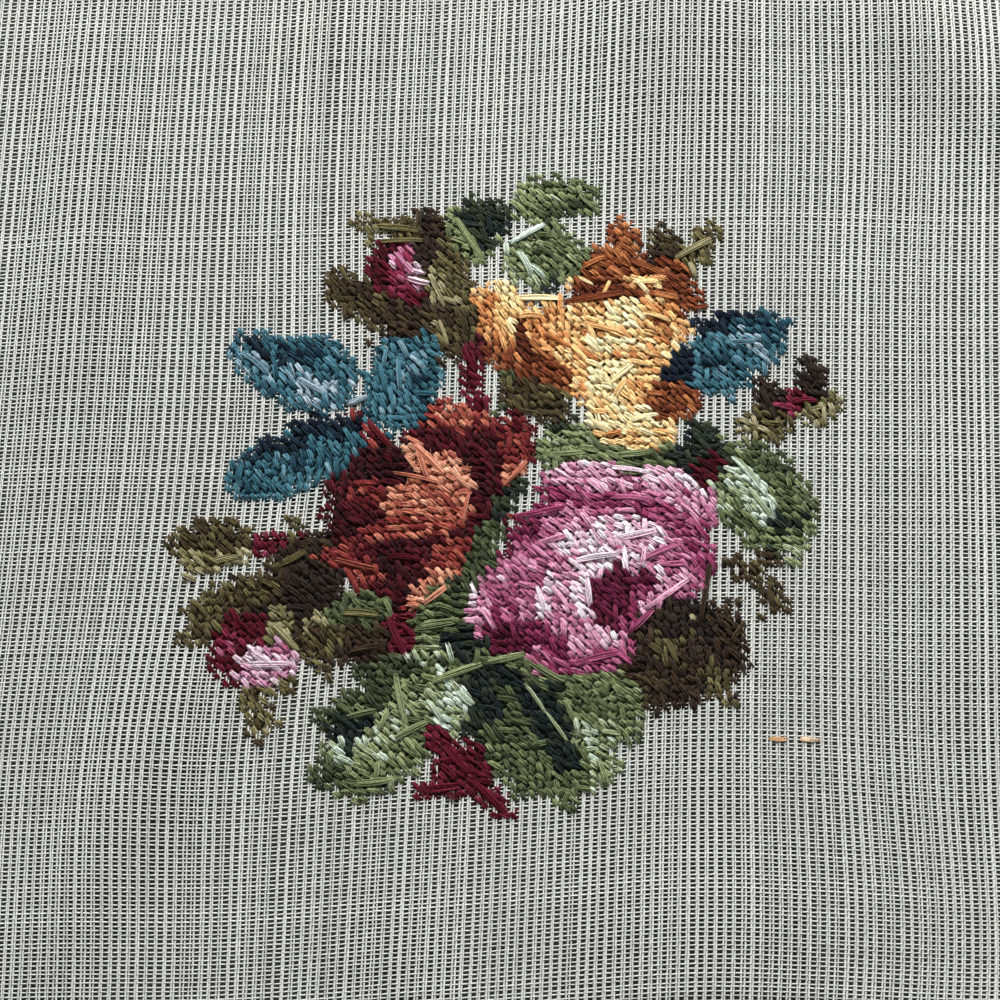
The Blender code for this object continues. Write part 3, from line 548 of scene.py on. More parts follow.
# petals inside the roses and buds, each a bent band: u, v at its start, middle and end, half width, shade
petalBands = {
    "wool_gold": (
        (6, 19, 14, 19, 22, 19, 6.0, 0.70), (-3.5, 26.5, -4, 23, -2.5, 19, 1.0, 0.36),
        (-1.5, 27, -1.2, 23.5, 0.5, 19.5, 1.8, 0.52), (-2, 28, 0, 27.2, 1.2, 25, 1.2, 0.90),
        (0.5, 26, 0.8, 23, 1, 20.5, 0.7, 0.74), (-2.5, 20, -0.5, 17.8, 2, 16, 1.5, 0.22),
        (2.4, 23.5, 2.6, 20.5, 3, 17.5, 0.9, 0.05), (3.5, 25, 4.5, 22, 4.5, 19, 1.2, 0.50),
        (6, 25.2, 6.6, 22, 6.5, 19, 1.2, 0.58), (2, 17.5, 5, 16, 8, 14, 2.1, 0.20),
        (8.6, 25, 9.4, 21, 8.8, 15.5, 1.4, 0.66), (13, 23, 15, 23.3, 17, 22.6, 1.9, 0.95),
        (10.5, 20.3, 13.5, 19.4, 16.8, 19.2, 1.1, 0.92), (10.5, 16.6, 13, 15.6, 16, 16.4, 1.4, 0.95),
        (10.8, 14.2, 11.5, 13.4, 12.8, 12.9, 1.0, 0.90), (20.4, 21.6, 21, 19.5, 20.4, 17.2, 0.7, 0.93),
        (17.5, 24, 19.4, 21, 18.8, 16, 1.3, 0.68), (9.5, 18.3, 13, 18, 17, 17.8, 0.5, 0.60),
        (9, 13, 11, 11, 14, 11, 1.4, 0.68), (13, 11.3, 16, 10, 20.5, 9, 1.7, 0.95),
        (10.6, 10.2, 12, 9.4, 13.5, 9, 0.9, 0.88), (13.5, 8, 17, 7, 21, 7.2, 0.9, 0.72),
        (18, 12.6, 20.6, 12, 23.2, 10.4, 2.2, 0.25), (7.6, 28.4, 13.5, 30, 20.6, 28, 4.2, 0.26),
        (13.4, 37, 14, 33.6, 14.4, 30, 3.0, 0.32), (18, 28.5, 21, 27, 22.5, 23.5, 2.0, 0.24),
        (15, 28, 17.5, 27.7, 19.8, 27.4, 0.8, 0.60), (18.8, 24.2, 20, 23.8, 21.2, 23, 0.8, 0.48),
        (7.5, 25.8, 12, 26.4, 16.5, 25.6, 0.7, 0.12), (18.4, 23.2, 19, 22.6, 20.2, 22, 0.6, 0.14),
    ),
    "wool_rust": (
        (-21, 0, -10, 0, 2, 0, 9.0, 0.14), (-11, 11, -7, 11.6, -2, 9.5, 2.3, 0.50),
        (-8.5, 12, -6, 11.4, -3.6, 9.8, 1.1, 0.64), (-10, 8, -5, 7.2, 0, 7, 1.5, 0.14),
        (0, 9.5, 1.5, 7.5, 3, 4, 1.7, 0.42), (1, 4, 2, 2.5, 2.6, 1, 1.6, 0.70),
        (1.5, 9, 3, 10, 5, 10.4, 0.9, 0.34), (-19, 11, -17, 9.6, -14.5, 7, 1.0, 0.36),
        (-19.5, 7, -15, 5.6, -11.5, 5.4, 2.4, 0.06), (-13.8, -0.6, -8.5, -0.2, -3.4, 0, 3.2, 0.68),
        (-16, 3.2, -13.4, 4.4, -10.8, 4.4, 1.4, 0.05), (-11.3, 8, -9.6, 5.5, -7, 3.2, 1.2, 0.88),
        (-8.5, 5, -6, 4.6, -4, 2.4, 1.2, 0.84), (-7.6, 3, -5.2, 2.8, -3, 1.6, 1.6, 0.86),
        (-13.6, -0.5, -12, 1.5, -9.6, 2.4, 0.9, 0.80), (-14, -2.5, -9, -3, -4, -2.4, 1.2, 0.58),
        (-12, 1, -9, -0.4, -6, -0.8, 0.8, 0.76), (-18.5, 1.5, -16, 1.6, -13.6, 0.5, 1.3, 0.34),
        (-21, 3, -20, 0, -17.5, -4, 1.6, 0.10), (-2.6, 4, -1.4, 0, -2.2, -4, 1.2, 0.16),
        (-21, -5, -17, -7.6, -13, -9, 2.0, 0.44), (-18, -4, -15, -5, -12, -5.2, 1.0, 0.34),
        (-15.5, -5, -10, -6.4, -5, -5, 1.7, 0.14), (-14, -10, -11, -10.6, -8, -8.6, 2.0, 0.13),
        (-7.5, -8, -5, -6.6, -3, -5, 1.8, 0.50), (-9.6, -13.2, -7, -11, -4, -8.6, 1.4, 0.84),
        (-16.5, -11.6, -14.6, -11.6, -13, -11, 0.8, 0.50),
        (-16, -2.6, -14.4, -3.4, -12.6, -3.8, 0.8, 0.46), (-5.4, -3.6, -4, -2, -3.4, 0, 0.6, 0.62),
    ),
    "wool_pink": (
        (1, -8, 12, -8, 24, -8, 9.0, 0.50), (7.6, 1.6, 12, 3, 17, 1.6, 2.2, 0.66),
        (9.8, 3.2, 11.6, 4.2, 13.4, 4, 1.0, 0.80), (17.5, 2.2, 21, 1.8, 24.6, 0.2, 1.5, 0.82),
        (17, 0.4, 21.6, -0.6, 26, -2.6, 1.7, 0.60), (3, 0, 12, -1, 22, -2.6, 1.5, 0.27),
        (21.6, -3.4, 25, -7, 24.8, -12, 1.7, 0.33), (3.4, 0, 1, -4, 0.6, -8, 1.7, 0.08),
        (2.2, -3.4, 4, -4, 5.8, -4.6, 1.3, 0.14), (5.6, -3.2, 10, -2.7, 18, -3.8, 1.3, 0.54),
        (8, -7.4, 14, -5, 20.4, -6.6, 1.9, 0.94), (10, -9, 15, -9.6, 18, -8, 1.5, 0.97),
        (14, -6.6, 17, -6.8, 19.6, -7.6, 0.7, 0.70), (4, -5.6, 4.4, -9, 3.4, -13, 1.9, 0.48),
        (-1.4, -9.4, -2, -13, -1, -17, 1.9, 0.58), (-2, -10.4, -2.2, -13, -1.6, -15, 0.8, 0.84),
        (0.4, -15, 2, -17.6, 5, -18.6, 1.8, 0.05), (1.2, -11, 2.2, -13.4, 3.4, -15.4, 1.0, 0.36),
        (6, -15, 9, -17, 12, -17.6, 1.4, 0.62), (8.6, -8.6, 9.2, -12, 9.2, -15.6, 1.3, 0.60),
        (7.4, -9.8, 6.6, -12.6, 5.6, -15, 0.9, 0.93), (11.6, -9.4, 11.2, -12, 11.8, -15, 1.2, 0.90),
        (11.8, -14, 15.4, -13.4, 19.4, -13.4, 3.9, 0.03), (16, -17.6, 17.4, -14.4, 18, -11.4, 0.7, 0.26),
        (19.2, -10.6, 20.2, -11.2, 21, -12, 1.0, 0.86), (17.6, -16.2, 20, -13.4, 24, -10.6, 1.0, 0.62),
        (20, -17, 22, -14.6, 23.4, -12, 1.5, 0.50), (17, -19, 19.4, -17.6, 21.4, -15.6, 1.2, 0.30),
        (6, -17.4, 10, -19.2, 15, -18.8, 1.6, 0.58), (4, -15.6, 7, -18, 9.6, -20, 1.1, 0.15),
        (5.4, -19.6, 10, -21.6, 17, -20, 1.1, 0.34), (12, -16.8, 13.4, -18, 15.4, -18.4, 0.8, 0.72),
    ),
    "wool_teal": (
        (-32.8, 21.2, -30, 18.8, -26, 17.2, 1.1, 0.80), (-29.6, 8.7, -26.6, 8.8, -23.6, 8.5, 0.9, 0.12),
    ),
    "wool_green": (
        (4.4, -23.6, 7.8, -28.6, 10.4, -35, 1.6, 0.03), (0.4, -21.2, 2.6, -22.6, 5, -25.6, 1.2, 0.03),
        (-3.2, -22.8, -3.6, -25.4, -3.4, -28.6, 1.8, 0.90), (27.8, 3.4, 30, 0.8, 33.2, -3.6, 1.5, 0.95),
        (2.6, -24, 3, -26, 3.4, -28.4, 0.6, 0.30), (23, 8.6, 24.6, 6, 26, 3, 1.6, 0.10),
        (-15.8, -25.4, -15.2, -28, -13.6, -30.4, 1.5, 0.03),
        (-16.6, -28.6, -16, -30.2, -15, -31.8, 0.7, 0.95),
        (-14.2, -28.4, -13.4, -29.6, -13.2, -31, 0.8, 0.95), (-5, 38.6, -3.4, 36, -1.4, 33.6, 1.8, 0.09),
    ),
    "wool_burgundy": (
        (-16.5, 34.4, -15, 30.5, -13.4, 26, 1.9, 0.14), (-12.8, 33.6, -11.6, 31, -11.8, 28, 2.3, 0.74),
        (-10.6, 31.6, -10.4, 29.4, -9.6, 27.6, 1.2, 0.95),
        (-13.4, 31, -13, 28.6, -13.2, 26.4, 0.8, 0.46), (33.4, 10.6, 35.4, 11.8, 38.4, 11.4, 1.6, 0.22),
        (33.8, 10.8, 34.6, 10.8, 35.6, 10.6, 0.8, 0.50),
        (-29.4, -20.6, -29.8, -17, -28.5, -13, 2.0, 0.18),
        (-30, -14.6, -29.4, -16, -28.4, -17, 1.0, 0.46),
        (-28, -20.6, -25.4, -19.6, -22, -18.6, 1.6, 0.80),
        (-27.4, -16.8, -26.4, -17.8, -24.6, -18.8, 1.2, 0.97),
    ),
}

# rows of short upright dots with canvas between them: wool, u from, to, v from, to, shade
dottedAreas = (("wool_olive", 26.8, 29.6, -10.2, -8.4, 0.20),)


# cells within a petal: (along / half length) squared plus (aside / half width) squared below one
def inEllipse(u, v, petal, loose):
    cu, cv, long, wide, turn = petal
    t = math.radians(turn)
    along = ((u - cu) * math.cos(t) + (v - cv) * math.sin(t)) / (long + chart["ease"])
    aside = ((v - cv) * math.cos(t) - (u - cu) * math.sin(t)) / (wide + chart["ease"])
    return along**2 + aside**2 < 1 + loose


# cells along a bent route: nearer to it than half * sqrt(1 - |2s - 1|^blunt) at the nearest station s
def inRoute(u, v, route, half, blunt, loose):
    s = np.linspace(0, 1, chart["stations"])
    a, b, c = (np.array(route[i : i + 2], dtype=float) for i in (0, 2, 4))
    pull = 2 * b - (a + c) / 2
    path = np.outer((1 - s) ** 2, a) + np.outer(2 * s * (1 - s), pull) + np.outer(s**2, c)
    gap = np.hypot(u[..., None] - path[:, 0], v[..., None] - path[:, 1])
    nearest = gap.argmin(axis=-1)
    width = half * np.sqrt(1 - np.abs(2 * s - 1) ** blunt) + chart["routeEase"]
    return gap.min(axis=-1) < width[nearest] * (1 + loose)


# slow waves added up, each its size times the sine of its own slanting phase
def addWaves(u, v, waves):
    return sum(size * np.sin(perU * u + perV * v + start) for size, perU, perV, start in waves)


# cells in a rounded box: |du / half|^power + |dv / half|^power below one, the box bent by slow waves
def inBox(u, v, box, loose):
    u0, u1, v0, v1 = box
    bentU, bentV = u + addWaves(u, v, boxSway), v + addWaves(u, v, boxRise)
    du = np.abs(bentU - (u0 + u1) / 2) / ((u1 - u0) / 2 + chart["ease"])
    dv = np.abs(bentV - (v0 + v1) / 2) / ((v1 - v0) / 2 + chart["ease"])
    return du ** chart["boxPower"] + dv ** chart["boxPower"] < 1 + loose


# motifs first, then the shades inside them, then the petals, each over what lies below
def paintChart():
    for wool, shade, *petals in roundMotifs:
        for petal in petals:
            here = inEllipse(gridU, gridV, petal, chart["leafRag"] * ragged)
            cellWool[here] = woolNames.index(wool)
            cellShade[here] = shade
    for wool, shade, *route, half, blunt in longMotifs:
        here = inRoute(gridU, gridV, route, half, blunt, chart["leafRag"] * ragged)
        cellWool[here] = woolNames.index(wool)
        cellShade[here] = shade
    taken = cellWool.copy()
    for wool, areas in shadedAreas.items():
        index = woolNames.index(wool)
        for *box, shade in areas:
            here = inBox(gridU, gridV, box, chart["areaRag"] * ragged)
            core = inBox(gridU, gridV, box, chart["leafRag"] * ragged - chart["coreShrink"])
            paint = (here & (taken == index)) | (core & (taken < 0))
            cellWool[paint] = index
            cellShade[paint] = shade
    taken = cellWool.copy()
    for wool, bands in petalBands.items():
        index = woolNames.index(wool)
        for *route, half, shade in bands:
            here = inRoute(gridU, gridV, route, half, chart["petalBlunt"], chart["petalRag"] * ragged)
            paint = here & (taken == index)
            cellWool[paint] = index
            cellShade[paint] = shade


paintChart()
dotted = np.zeros(gridU.shape, dtype=bool)
for wool, *box, shade in dottedAreas:
    here = inBox(gridU, gridV, box, chart["dotLoose"])
    cellWool[here] = woolNames.index(wool)
    cellShade[here] = shade
    dotted |= here
filled = cellWool >= 0
print("chart:", int(filled.sum()), "stitches")


# the canvas: pairs of warps and wefts, woven plain
canvas = {
    "pairsU": (-67, 69),
    "pairsV": (-69, 76),
    "warpRadius": 0.37 * mm,
    "weftRadius": 0.265 * mm,
    "warpRaise": 0.11 * mm,
    "swing": 0.26 * mm,  # half the height between over and under
    "warpSplit": 0.136,  # a warp's place beside its pair's middle, in stitches
    "weftSplit": 0.242,
    "middle": 0.60 * mm,  # height of the weave's middle above the underside
    "wander": 0.10 * mm,
    "drift": 0.02,  # slow and quick part of the wander, and its limit
    "jitter": 0.35,
    "wanderMost": 1.6,
    "warpUneven": 0.10 * mm,  # how far whole threads lie off their even places
    "weftUneven": 0.05 * mm,
    "thickness": (0.10, 0.06),  # spread of whole threads, and along each
    "thinnest": 0.18 * mm,
    "thickest": 0.46 * mm,
    "tone": (0.07, 0.05),  # the same for their shades
    "darkest": 0.75,
    "lightest": 1.2,
    "warpTone": 1.05,
    "weftTone": 0.94,
    "quartersMeet": (0, -9 * mm),  # x and y where the four pieces of the cloth meet
}


# closed tubes on paths: each ring is path + wide * cos(angle) * side + deep * sin(angle) * up
def sweepTubes(path, wide, deep, sides, twist=0.0):
    count, rings = path.shape[:2]
    step = np.gradient(path[..., :2], axis=1)
    size = np.maximum(np.hypot(step[..., 0], step[..., 1]), 1e-9)
    side = np.stack([step[..., 1] / size, -step[..., 0] / size], axis=-1)
    turn = (np.arange(sides) + 0.5) / sides * 2 * math.pi
    angle = turn + (np.asarray(twist) * np.ones((count, rings)))[..., None]
    across = (wide * np.ones((count, rings)))[..., None] * np.cos(angle)
    upward = (deep * np.ones((count, rings)))[..., None] * np.sin(angle)
    points = np.empty((count, rings, sides, 3))
    points[..., :2] = path[..., None, :2] + across[..., None] * side[..., None, :]
    points[..., 2] = path[..., 2, None] + upward
    return points


# outward normals of swept tubes: (step along) x (step around), so a thread cut in two still shades as one
def tubeNormals(points):
    along = np.gradient(points, axis=1)
    around = np.roll(points, -1, axis=2) - np.roll(points, 1, axis=2)
    normals = np.cross(along, around)
    return normals / np.maximum(np.linalg.norm(normals, axis=-1, keepdims=True), 1e-12)


# places of single threads: each pair's number less and plus its split
def splitPairs(pairs, split):
    middle = np.arange(*canvas[pairs])
    return np.stack([middle - canvas[split], middle + canvas[split]], axis=1).ravel()


# threads of the canvas: z swings up or down at each crossing, (warp + weft) even puts the warp on top
def makeThreads(alongU):
    warps = splitPairs("pairsU", "warpSplit")
    wefts = splitPairs("pairsV", "weftSplit")
    own, other = (wefts, warps) if alongU else (warps, wefts)
    ownGrid, otherGrid = np.meshgrid(own, other, indexing="ij")
    u, v = (otherGrid, ownGrid) if alongU else (ownGrid, otherGrid)
    x, y = chartPlace(u, v)
    number = np.arange(len(own))[:, None] + np.arange(len(other))[None, :]
    sign = np.where(number % 2 == 0, 1.0, -1.0) * (-1 if alongU else 1)
    wander = np.cumsum(rng.normal(0, 1, x.shape), axis=1)
    wander = (wander - np.linspace(0, 1, x.shape[1]) * wander[:, -1:]) * canvas["drift"]
    wander = wander + rng.normal(0, canvas["jitter"], x.shape)
    wander = np.clip(wander, -canvas["wanderMost"], canvas["wanderMost"])
    uneven = canvas["weftUneven" if alongU else "warpUneven"]
    shift = canvas["wander"] * wander + uneven * rng.normal(0, 1, (x.shape[0], 1))
    x, y = (x, y + shift) if alongU else (x + shift, y)
    raised = -canvas["warpRaise"] if alongU else canvas["warpRaise"]
    z = clothHeight(x, y) + canvas["middle"] + sign * canvas["swing"] + raised
    inside = (np.abs(x) < panel["width"] / 2) & (np.abs(y) < panel["length"] / 2)
    x = np.clip(x, -panel["width"] / 2, panel["width"] / 2)
    y = np.clip(y, -panel["length"] / 2, panel["length"] / 2)
    return u, v, np.stack([x, y, z], axis=-1), inside


# crossings whose whole neighbourhood is stitched over, so the thread there can't be seen
def hiddenAt(u, v):
    deep = filled & ~dotted
    for du in (-1, 0, 1):
        for dv in (-1, 0, 1):
            deep = deep & np.roll(filled & ~dotted, (du, dv), axis=(0, 1))
    reach = chart["reach"]
    i = np.clip(np.rint(u).astype(int) + reach, 0, 2 * reach)
    j = np.clip(np.rint(v).astype(int) + reach, 0, 2 * reach)
    near = (np.abs(u) <= reach) & (np.abs(v) <= reach)
    return deep[i, j] & near


# one plus a change for each whole thread plus a smaller one along it
def threadSpread(shape, spread):
    whole = spread[0] * rng.normal(0, 1, (shape[0], 1))
    return 1 + whole + spread[1] * rng.normal(0, 1, shape)


# all threads of one direction: points, normals, tones, and which lengths between crossings show
def sweepThreads(alongU):
    kind = "weft" if alongU else "warp"
    u, v, path, inside = makeThreads(alongU)
    grown = inside.copy()
    grown[:, 1:] |= inside[:, :-1]
    grown[:, :-1] |= inside[:, 1:]
    seen = grown & ~hiddenAt(u, v)
    radius = canvas[kind + "Radius"] * threadSpread(u.shape, canvas["thickness"])
    radius = np.clip(radius, canvas["thinnest"], canvas["thickest"])
    points = sweepTubes(path, radius, radius, 3)
    tone = np.clip(threadSpread(u.shape, canvas["tone"]), canvas["darkest"], canvas["lightest"])
    return path, points, tubeNormals(points), tone * canvas[kind + "Tone"], seen[:, :-1] & seen[:, 1:]


# the lengths of thread to keep, as walls of quads, with a flat cap where a thread starts or ends
def cutThreads(points, normals, tone, keep):
    count, rings, sides = points.shape[:3]
    index = np.arange(count * rings * sides).reshape(count, rings, sides)
    a, b = index[:, :-1][keep], index[:, 1:][keep]
    quads = np.stack([a, b, np.roll(b, -1, 1), np.roll(a, -1, 1)], axis=-1).reshape(-1, 4)
    padded = np.pad(keep, ((0, 0), (1, 1)))
    starts = padded[:, 1:] & ~padded[:, :-1]
    ends = padded[:, :-1] & ~padded[:, 1:]
    tris = np.concatenate([index[starts][:, [0, 1, 2]], index[ends][:, [2, 1, 0]]])
    used, fresh = np.unique(np.concatenate([quads.ravel(), tris.ravel()]), return_inverse=True)
    quads, tris = fresh[: quads.size].reshape(-1, 4), fresh[quads.size :].reshape(-1, 3)
    tones = np.repeat(tone[..., None], sides, axis=-1).ravel()[used]
    return points.reshape(-1, 3)[used], quads, tris, tones, normals.reshape(-1, 3)[used]


# pieces of mesh put together, their point numbers moved on
def joinParts(parts):
    base, out = 0, ([], [], [], [], [])
    for points, quads, tris, values, extra in parts:
        for store, array in zip(out, (points, quads + base, tris + base, values, extra)):
            store.append(array)
        base += len(points)
    return [np.concatenate(store) for store in out]


# the whole cloth in four pieces, cut between crossings so that the threads run on
def makeCanvas():
    material = makeCanvasMaterial()
    threads = [sweepThreads(alongU) for alongU in (False, True)]
    for right, side in enumerate(("left", "right")):
        for top, level in enumerate(("lower", "upper")):
            parts = []
            for path, points, normals, tone, shown in threads:
                past = (path[:, :-1, :2] + path[:, 1:, :2]) / 2 > canvas["quartersMeet"]
                keep = shown & (past[..., 0] == right) & (past[..., 1] == top)
                parts.append(cutThreads(points, normals, tone, keep))
            points, quads, tris, tone, normals = joinParts(parts)
            name = "canvas_" + level + "_" + side
            piece = buildPiece(name, points, quads, tris, material, {"tone": tone}, normals=normals)
            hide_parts("canvas")
            print("canvas:", name, len(quads) * 2 + len(tris), "triangles")


makeCanvas()


# the wool: each stitch's strands, and the flat stitches of the worked face
stitching = {
    "long": 1.84,  # stitch length in cells
    "longSpread": 0.16,
    "longLimits": (0.7, 1.5),
    "strands": 3,
    "spacing": 0.47 * mm,  # between the strands of one stitch
    "wide": 0.41 * mm,  # half width of a strand
    "deep": 0.36 * mm,
    "sizeSpread": 0.10,
    "sizeLimits": (0.7, 1.3),
    "lift": 1.30 * mm,  # stitch middle above the underside
    "liftFrom": -0.15 * mm,  # and how far single stitches lie below or above that
    "liftTo": 0.19 * mm,
    "dip": 0.70 * mm,  # how far its ends go down
    "lap": 0.22 * mm,  # each upper end lies this much over the one above
    "bow": 0.12 * mm,
    "placeSpread": (0.12, 0.10),  # across and up, in cells
    "slantShare": 0.42,  # share of a wool's slant spread from stitch to stitch
    "turns": (6, 0.45, 1.7, 0.31),  # slow turn: degrees, per cell across, sway, per cell up
    "sway": (4.5, 0.2, 0.6),  # a quicker one: degrees, per cell across, per cell up
    "overShare": 0.12,  # stitches that lie longer and loosely over the rest
    "overLong": 1.45,
    "overTurn": 0.34,  # in radians
    "overLift": 0.32 * mm,
    "rimShort": 0.13,  # shorter by this share for each bare side, two at most
    "tone": (0.04, 0.10),  # shade spread: at dark, and more at light
    "lowest": 0.02 * mm,
    "rings": 3,
    "sides": 3,
    "twist": 0.22,  # turns along a stitch
}

# slant of each wool's stitches in degrees, and how much it varies
slants = {
    "wool_gold": (-40, 16), "wool_rust": (-48, 20), "wool_pink": (-42, 18), "wool_teal": (-55, 18),
    "wool_green": (-46, 26), "wool_olive": (-50, 24), "wool_burgundy": (-48, 16), "tacking_cotton": (0, 3),
}

# blocks whose stitches lie another way: u from, to, v from, to, slant
turnedAreas = (
    (-4, 2, 18, 28, -62), (2, 8, 18, 26, -60), (2, 9, 13, 19, -48), (-14, -2, -3, 5, -30),
    (8, 22, -10, -4, -38), (-3, 3, -18, -8, -46), (2, 22, -3, 0.5, -32), (16, 31, -28, -14, -66),
    (-33, -18, 1, 8, -62), (20, 34, 13, 22, -50), (4, 24, 2, 8, -28), (-10, -2, -18, -12, -10),
    (9, 18, -30, -21, -40), (12, 19, -18, -10, -60),
)


yarnShape = {
    "swell": 0.34,  # power of the width's growth from a tip
    "arch": 0.6,  # power of the height's
    "tip": 0.06,  # how far in the rings start, as a share
    "tipDip": 1.15,  # the tips go down this much more than the rings
    "fullTurn": 6.28,
    "offset": 50,  # greatest start of a yarn on the fibre noise
}


# yarns: widths swell as sin(pi s)^swell, the middle lifts as sin(pi s)^arch, tips close in a point
def makeYarns(start, end, lift, dip, wide, deep, shade, bow, form):
    count = len(start)
    rings, sides, lap = form["rings"], form["sides"], form.get("lap", 0.0)
    s = np.linspace(0, 1, rings + 2)[1:-1]
    s = 0.5 - 0.5 * np.cos(math.pi * (yarnShape["tip"] + (1 - 2 * yarnShape["tip"]) * s))
    hump = np.sin(math.pi * s)
    swell = hump ** yarnShape["swell"]
    along = end - start
    size = np.hypot(along[:, 0], along[:, 1])[:, None]
    side = np.stack([along[:, 1], -along[:, 0]], axis=1) / size
    flat = start[:, None] + along[:, None] * s[None, :, None]
    flat = flat + side[:, None] * (bow[:, None] * hump)[..., None]
    z = clothHeight(flat[..., 0], flat[..., 1]) + lift[:, None]
    z = z - dip[:, None] * (1 - hump ** yarnShape["arch"]) + lap * (1 - 2 * s)
    path = np.concatenate([flat, z[..., None]], axis=-1)
    twist = form["twist"] * s * 2 * math.pi + rng.uniform(0, yarnShape["fullTurn"], (count, 1))
    points = sweepTubes(path, wide[:, None] * swell, deep[:, None] * swell, sides, twist)
    tips = np.stack([start, end], axis=1)
    tipZ = clothHeight(tips[..., 0], tips[..., 1]) + lift[:, None] - dip[:, None] * yarnShape["tipDip"]
    tipZ = tipZ + lap * np.array([1.0, -1.0])
    tips = np.concatenate([tips, tipZ[..., None]], axis=-1)
    quads, tris = closeYarns(count, rings, sides)
    offset = rng.uniform(0, yarnShape["offset"], (count, 1, 1))
    uvAlong = s[None, :, None] * size[:, :, None] / mm + offset
    uvRound = (twist[..., None] + np.arange(sides) / sides * 2 * math.pi) / yarnShape["fullTurn"]
    uv = np.stack(np.broadcast_arrays(uvAlong, uvRound), axis=-1).reshape(-1, 2)
    uv = np.concatenate([uv, np.zeros((count * 2, 2))])
    values = np.concatenate([np.repeat(shade, rings * sides), np.repeat(shade, 2)])
    return np.concatenate([points.reshape(-1, 3), tips.reshape(-1, 3)]), quads, tris, values, uv


# faces of yarns: quads from ring to ring, and a fan of triangles from each tip
def closeYarns(count, rings, sides):
    index = np.arange(count * rings * sides).reshape(count, rings, sides)
    a, b = index[:, :-1], index[:, 1:]
    quads = np.stack([a, b, np.roll(b, -1, 2), np.roll(a, -1, 2)], axis=-1).reshape(-1, 4)
    head, tail = index[:, 0], index[:, -1]
    tip = np.broadcast_to(index.size + np.arange(count)[:, None] * 2, head.shape)
    tris = np.concatenate([
        np.stack([tip, head, np.roll(head, -1, 1)], axis=-1).reshape(-1, 3),
        np.stack([tip + 1, np.roll(tail, -1, 1), tail], axis=-1).reshape(-1, 3),
    ])
    return quads, tris


# how one strand lies among the others of its stitch
strandShape = {
    "gapSpread": 0.15,
    "slip": 0.16 * mm,  # how far it slides along
    "endGap": 0.75,  # gap at the ends, as a share of the spacing
    "bulge": 0.35,  # and how much more in the middle
    "bowSpread": 0.05 * mm,
    "rise": 0.07 * mm,
    "edgeDrop": 0.06 * mm,  # how much lower the outer strands lie
    "sizeSpread": 0.10,
    "tone": (0.02, 0.05),
}


# one stitch into side-by-side strands: strand k is shifted k spacings, its ends a little less
def splitStrands(start, end, lift, dip, wide, deep, shade, bow, strands, spacing):
    along = end - start
    size = np.hypot(along[:, 0], along[:, 1])[:, None]
    side = np.stack([along[:, 1], -along[:, 0]], axis=1) / size
    count, shape = len(start), strandShape
    out = []
    for k in np.arange(strands) - (strands - 1) / 2:
        shift = k * spacing * (1 + rng.normal(0, shape["gapSpread"], (count, 1)))
        slip = rng.normal(0, shape["slip"], (count, 1)) * along / size
        move = side * shift * shape["endGap"] + slip
        raised = lift + rng.normal(0, shape["rise"], count) - abs(k) * shape["edgeDrop"]
        wider = wide * (1 + rng.normal(0, shape["sizeSpread"], count))
        deeper = deep * (1 + rng.normal(0, shape["sizeSpread"], count))
        tone = (shape["tone"][0] + shape["tone"][1] * shade) * rng.normal(0, 1, count)
        bowed = bow + shift[:, 0] * shape["bulge"] + rng.normal(0, shape["bowSpread"], count)
        toned = np.clip(shade + tone, 0, 1)
        out.append((start + move, end + move, raised, dip, wider, deeper, toned, bowed))
    return [np.concatenate(column) for column in zip(*out)]


# the cells of a wool, dotted or not: their places in the grid, their u and v, and their shades
def cellsOf(index, dots):
    i, j = np.nonzero((cellWool == index) & (dotted == dots))
    return i, j, gridU[i, j].astype(float), gridV[i, j].astype(float), cellShade[i, j]


# both ends of stitches, half a length to each side of their middles
def stitchEnds(u, v, halfU, halfV):
    start = np.stack(chartPlace(u - halfU, v - halfV), axis=1)
    return start, np.stack(chartPlace(u + halfU, v + halfV), axis=1)


# angle of each stitch: the wool's slant, or its block's, plus two slow waves and its own spread
def stitchAngles(u, v, wool):
    slant, spread = slants[wool]
    angle = np.full(len(u), float(slant))
    for u0, u1, v0, v1, turned in turnedAreas:
        inside = (u >= u0) & (u <= u1) & (v >= v0) & (v <= v1)
        angle = np.where(inside, turned, angle)
    slow, slowU, bend, bendV = stitching["turns"]
    quick, quickU, quickV = stitching["sway"]
    angle = angle + slow * np.sin(u * slowU + bend * np.sin(v * bendV))
    angle = angle + quick * np.sin(v * quickV + u * quickU)
    return np.radians(angle + rng.normal(0, spread * stitching["slantShare"], len(u)))


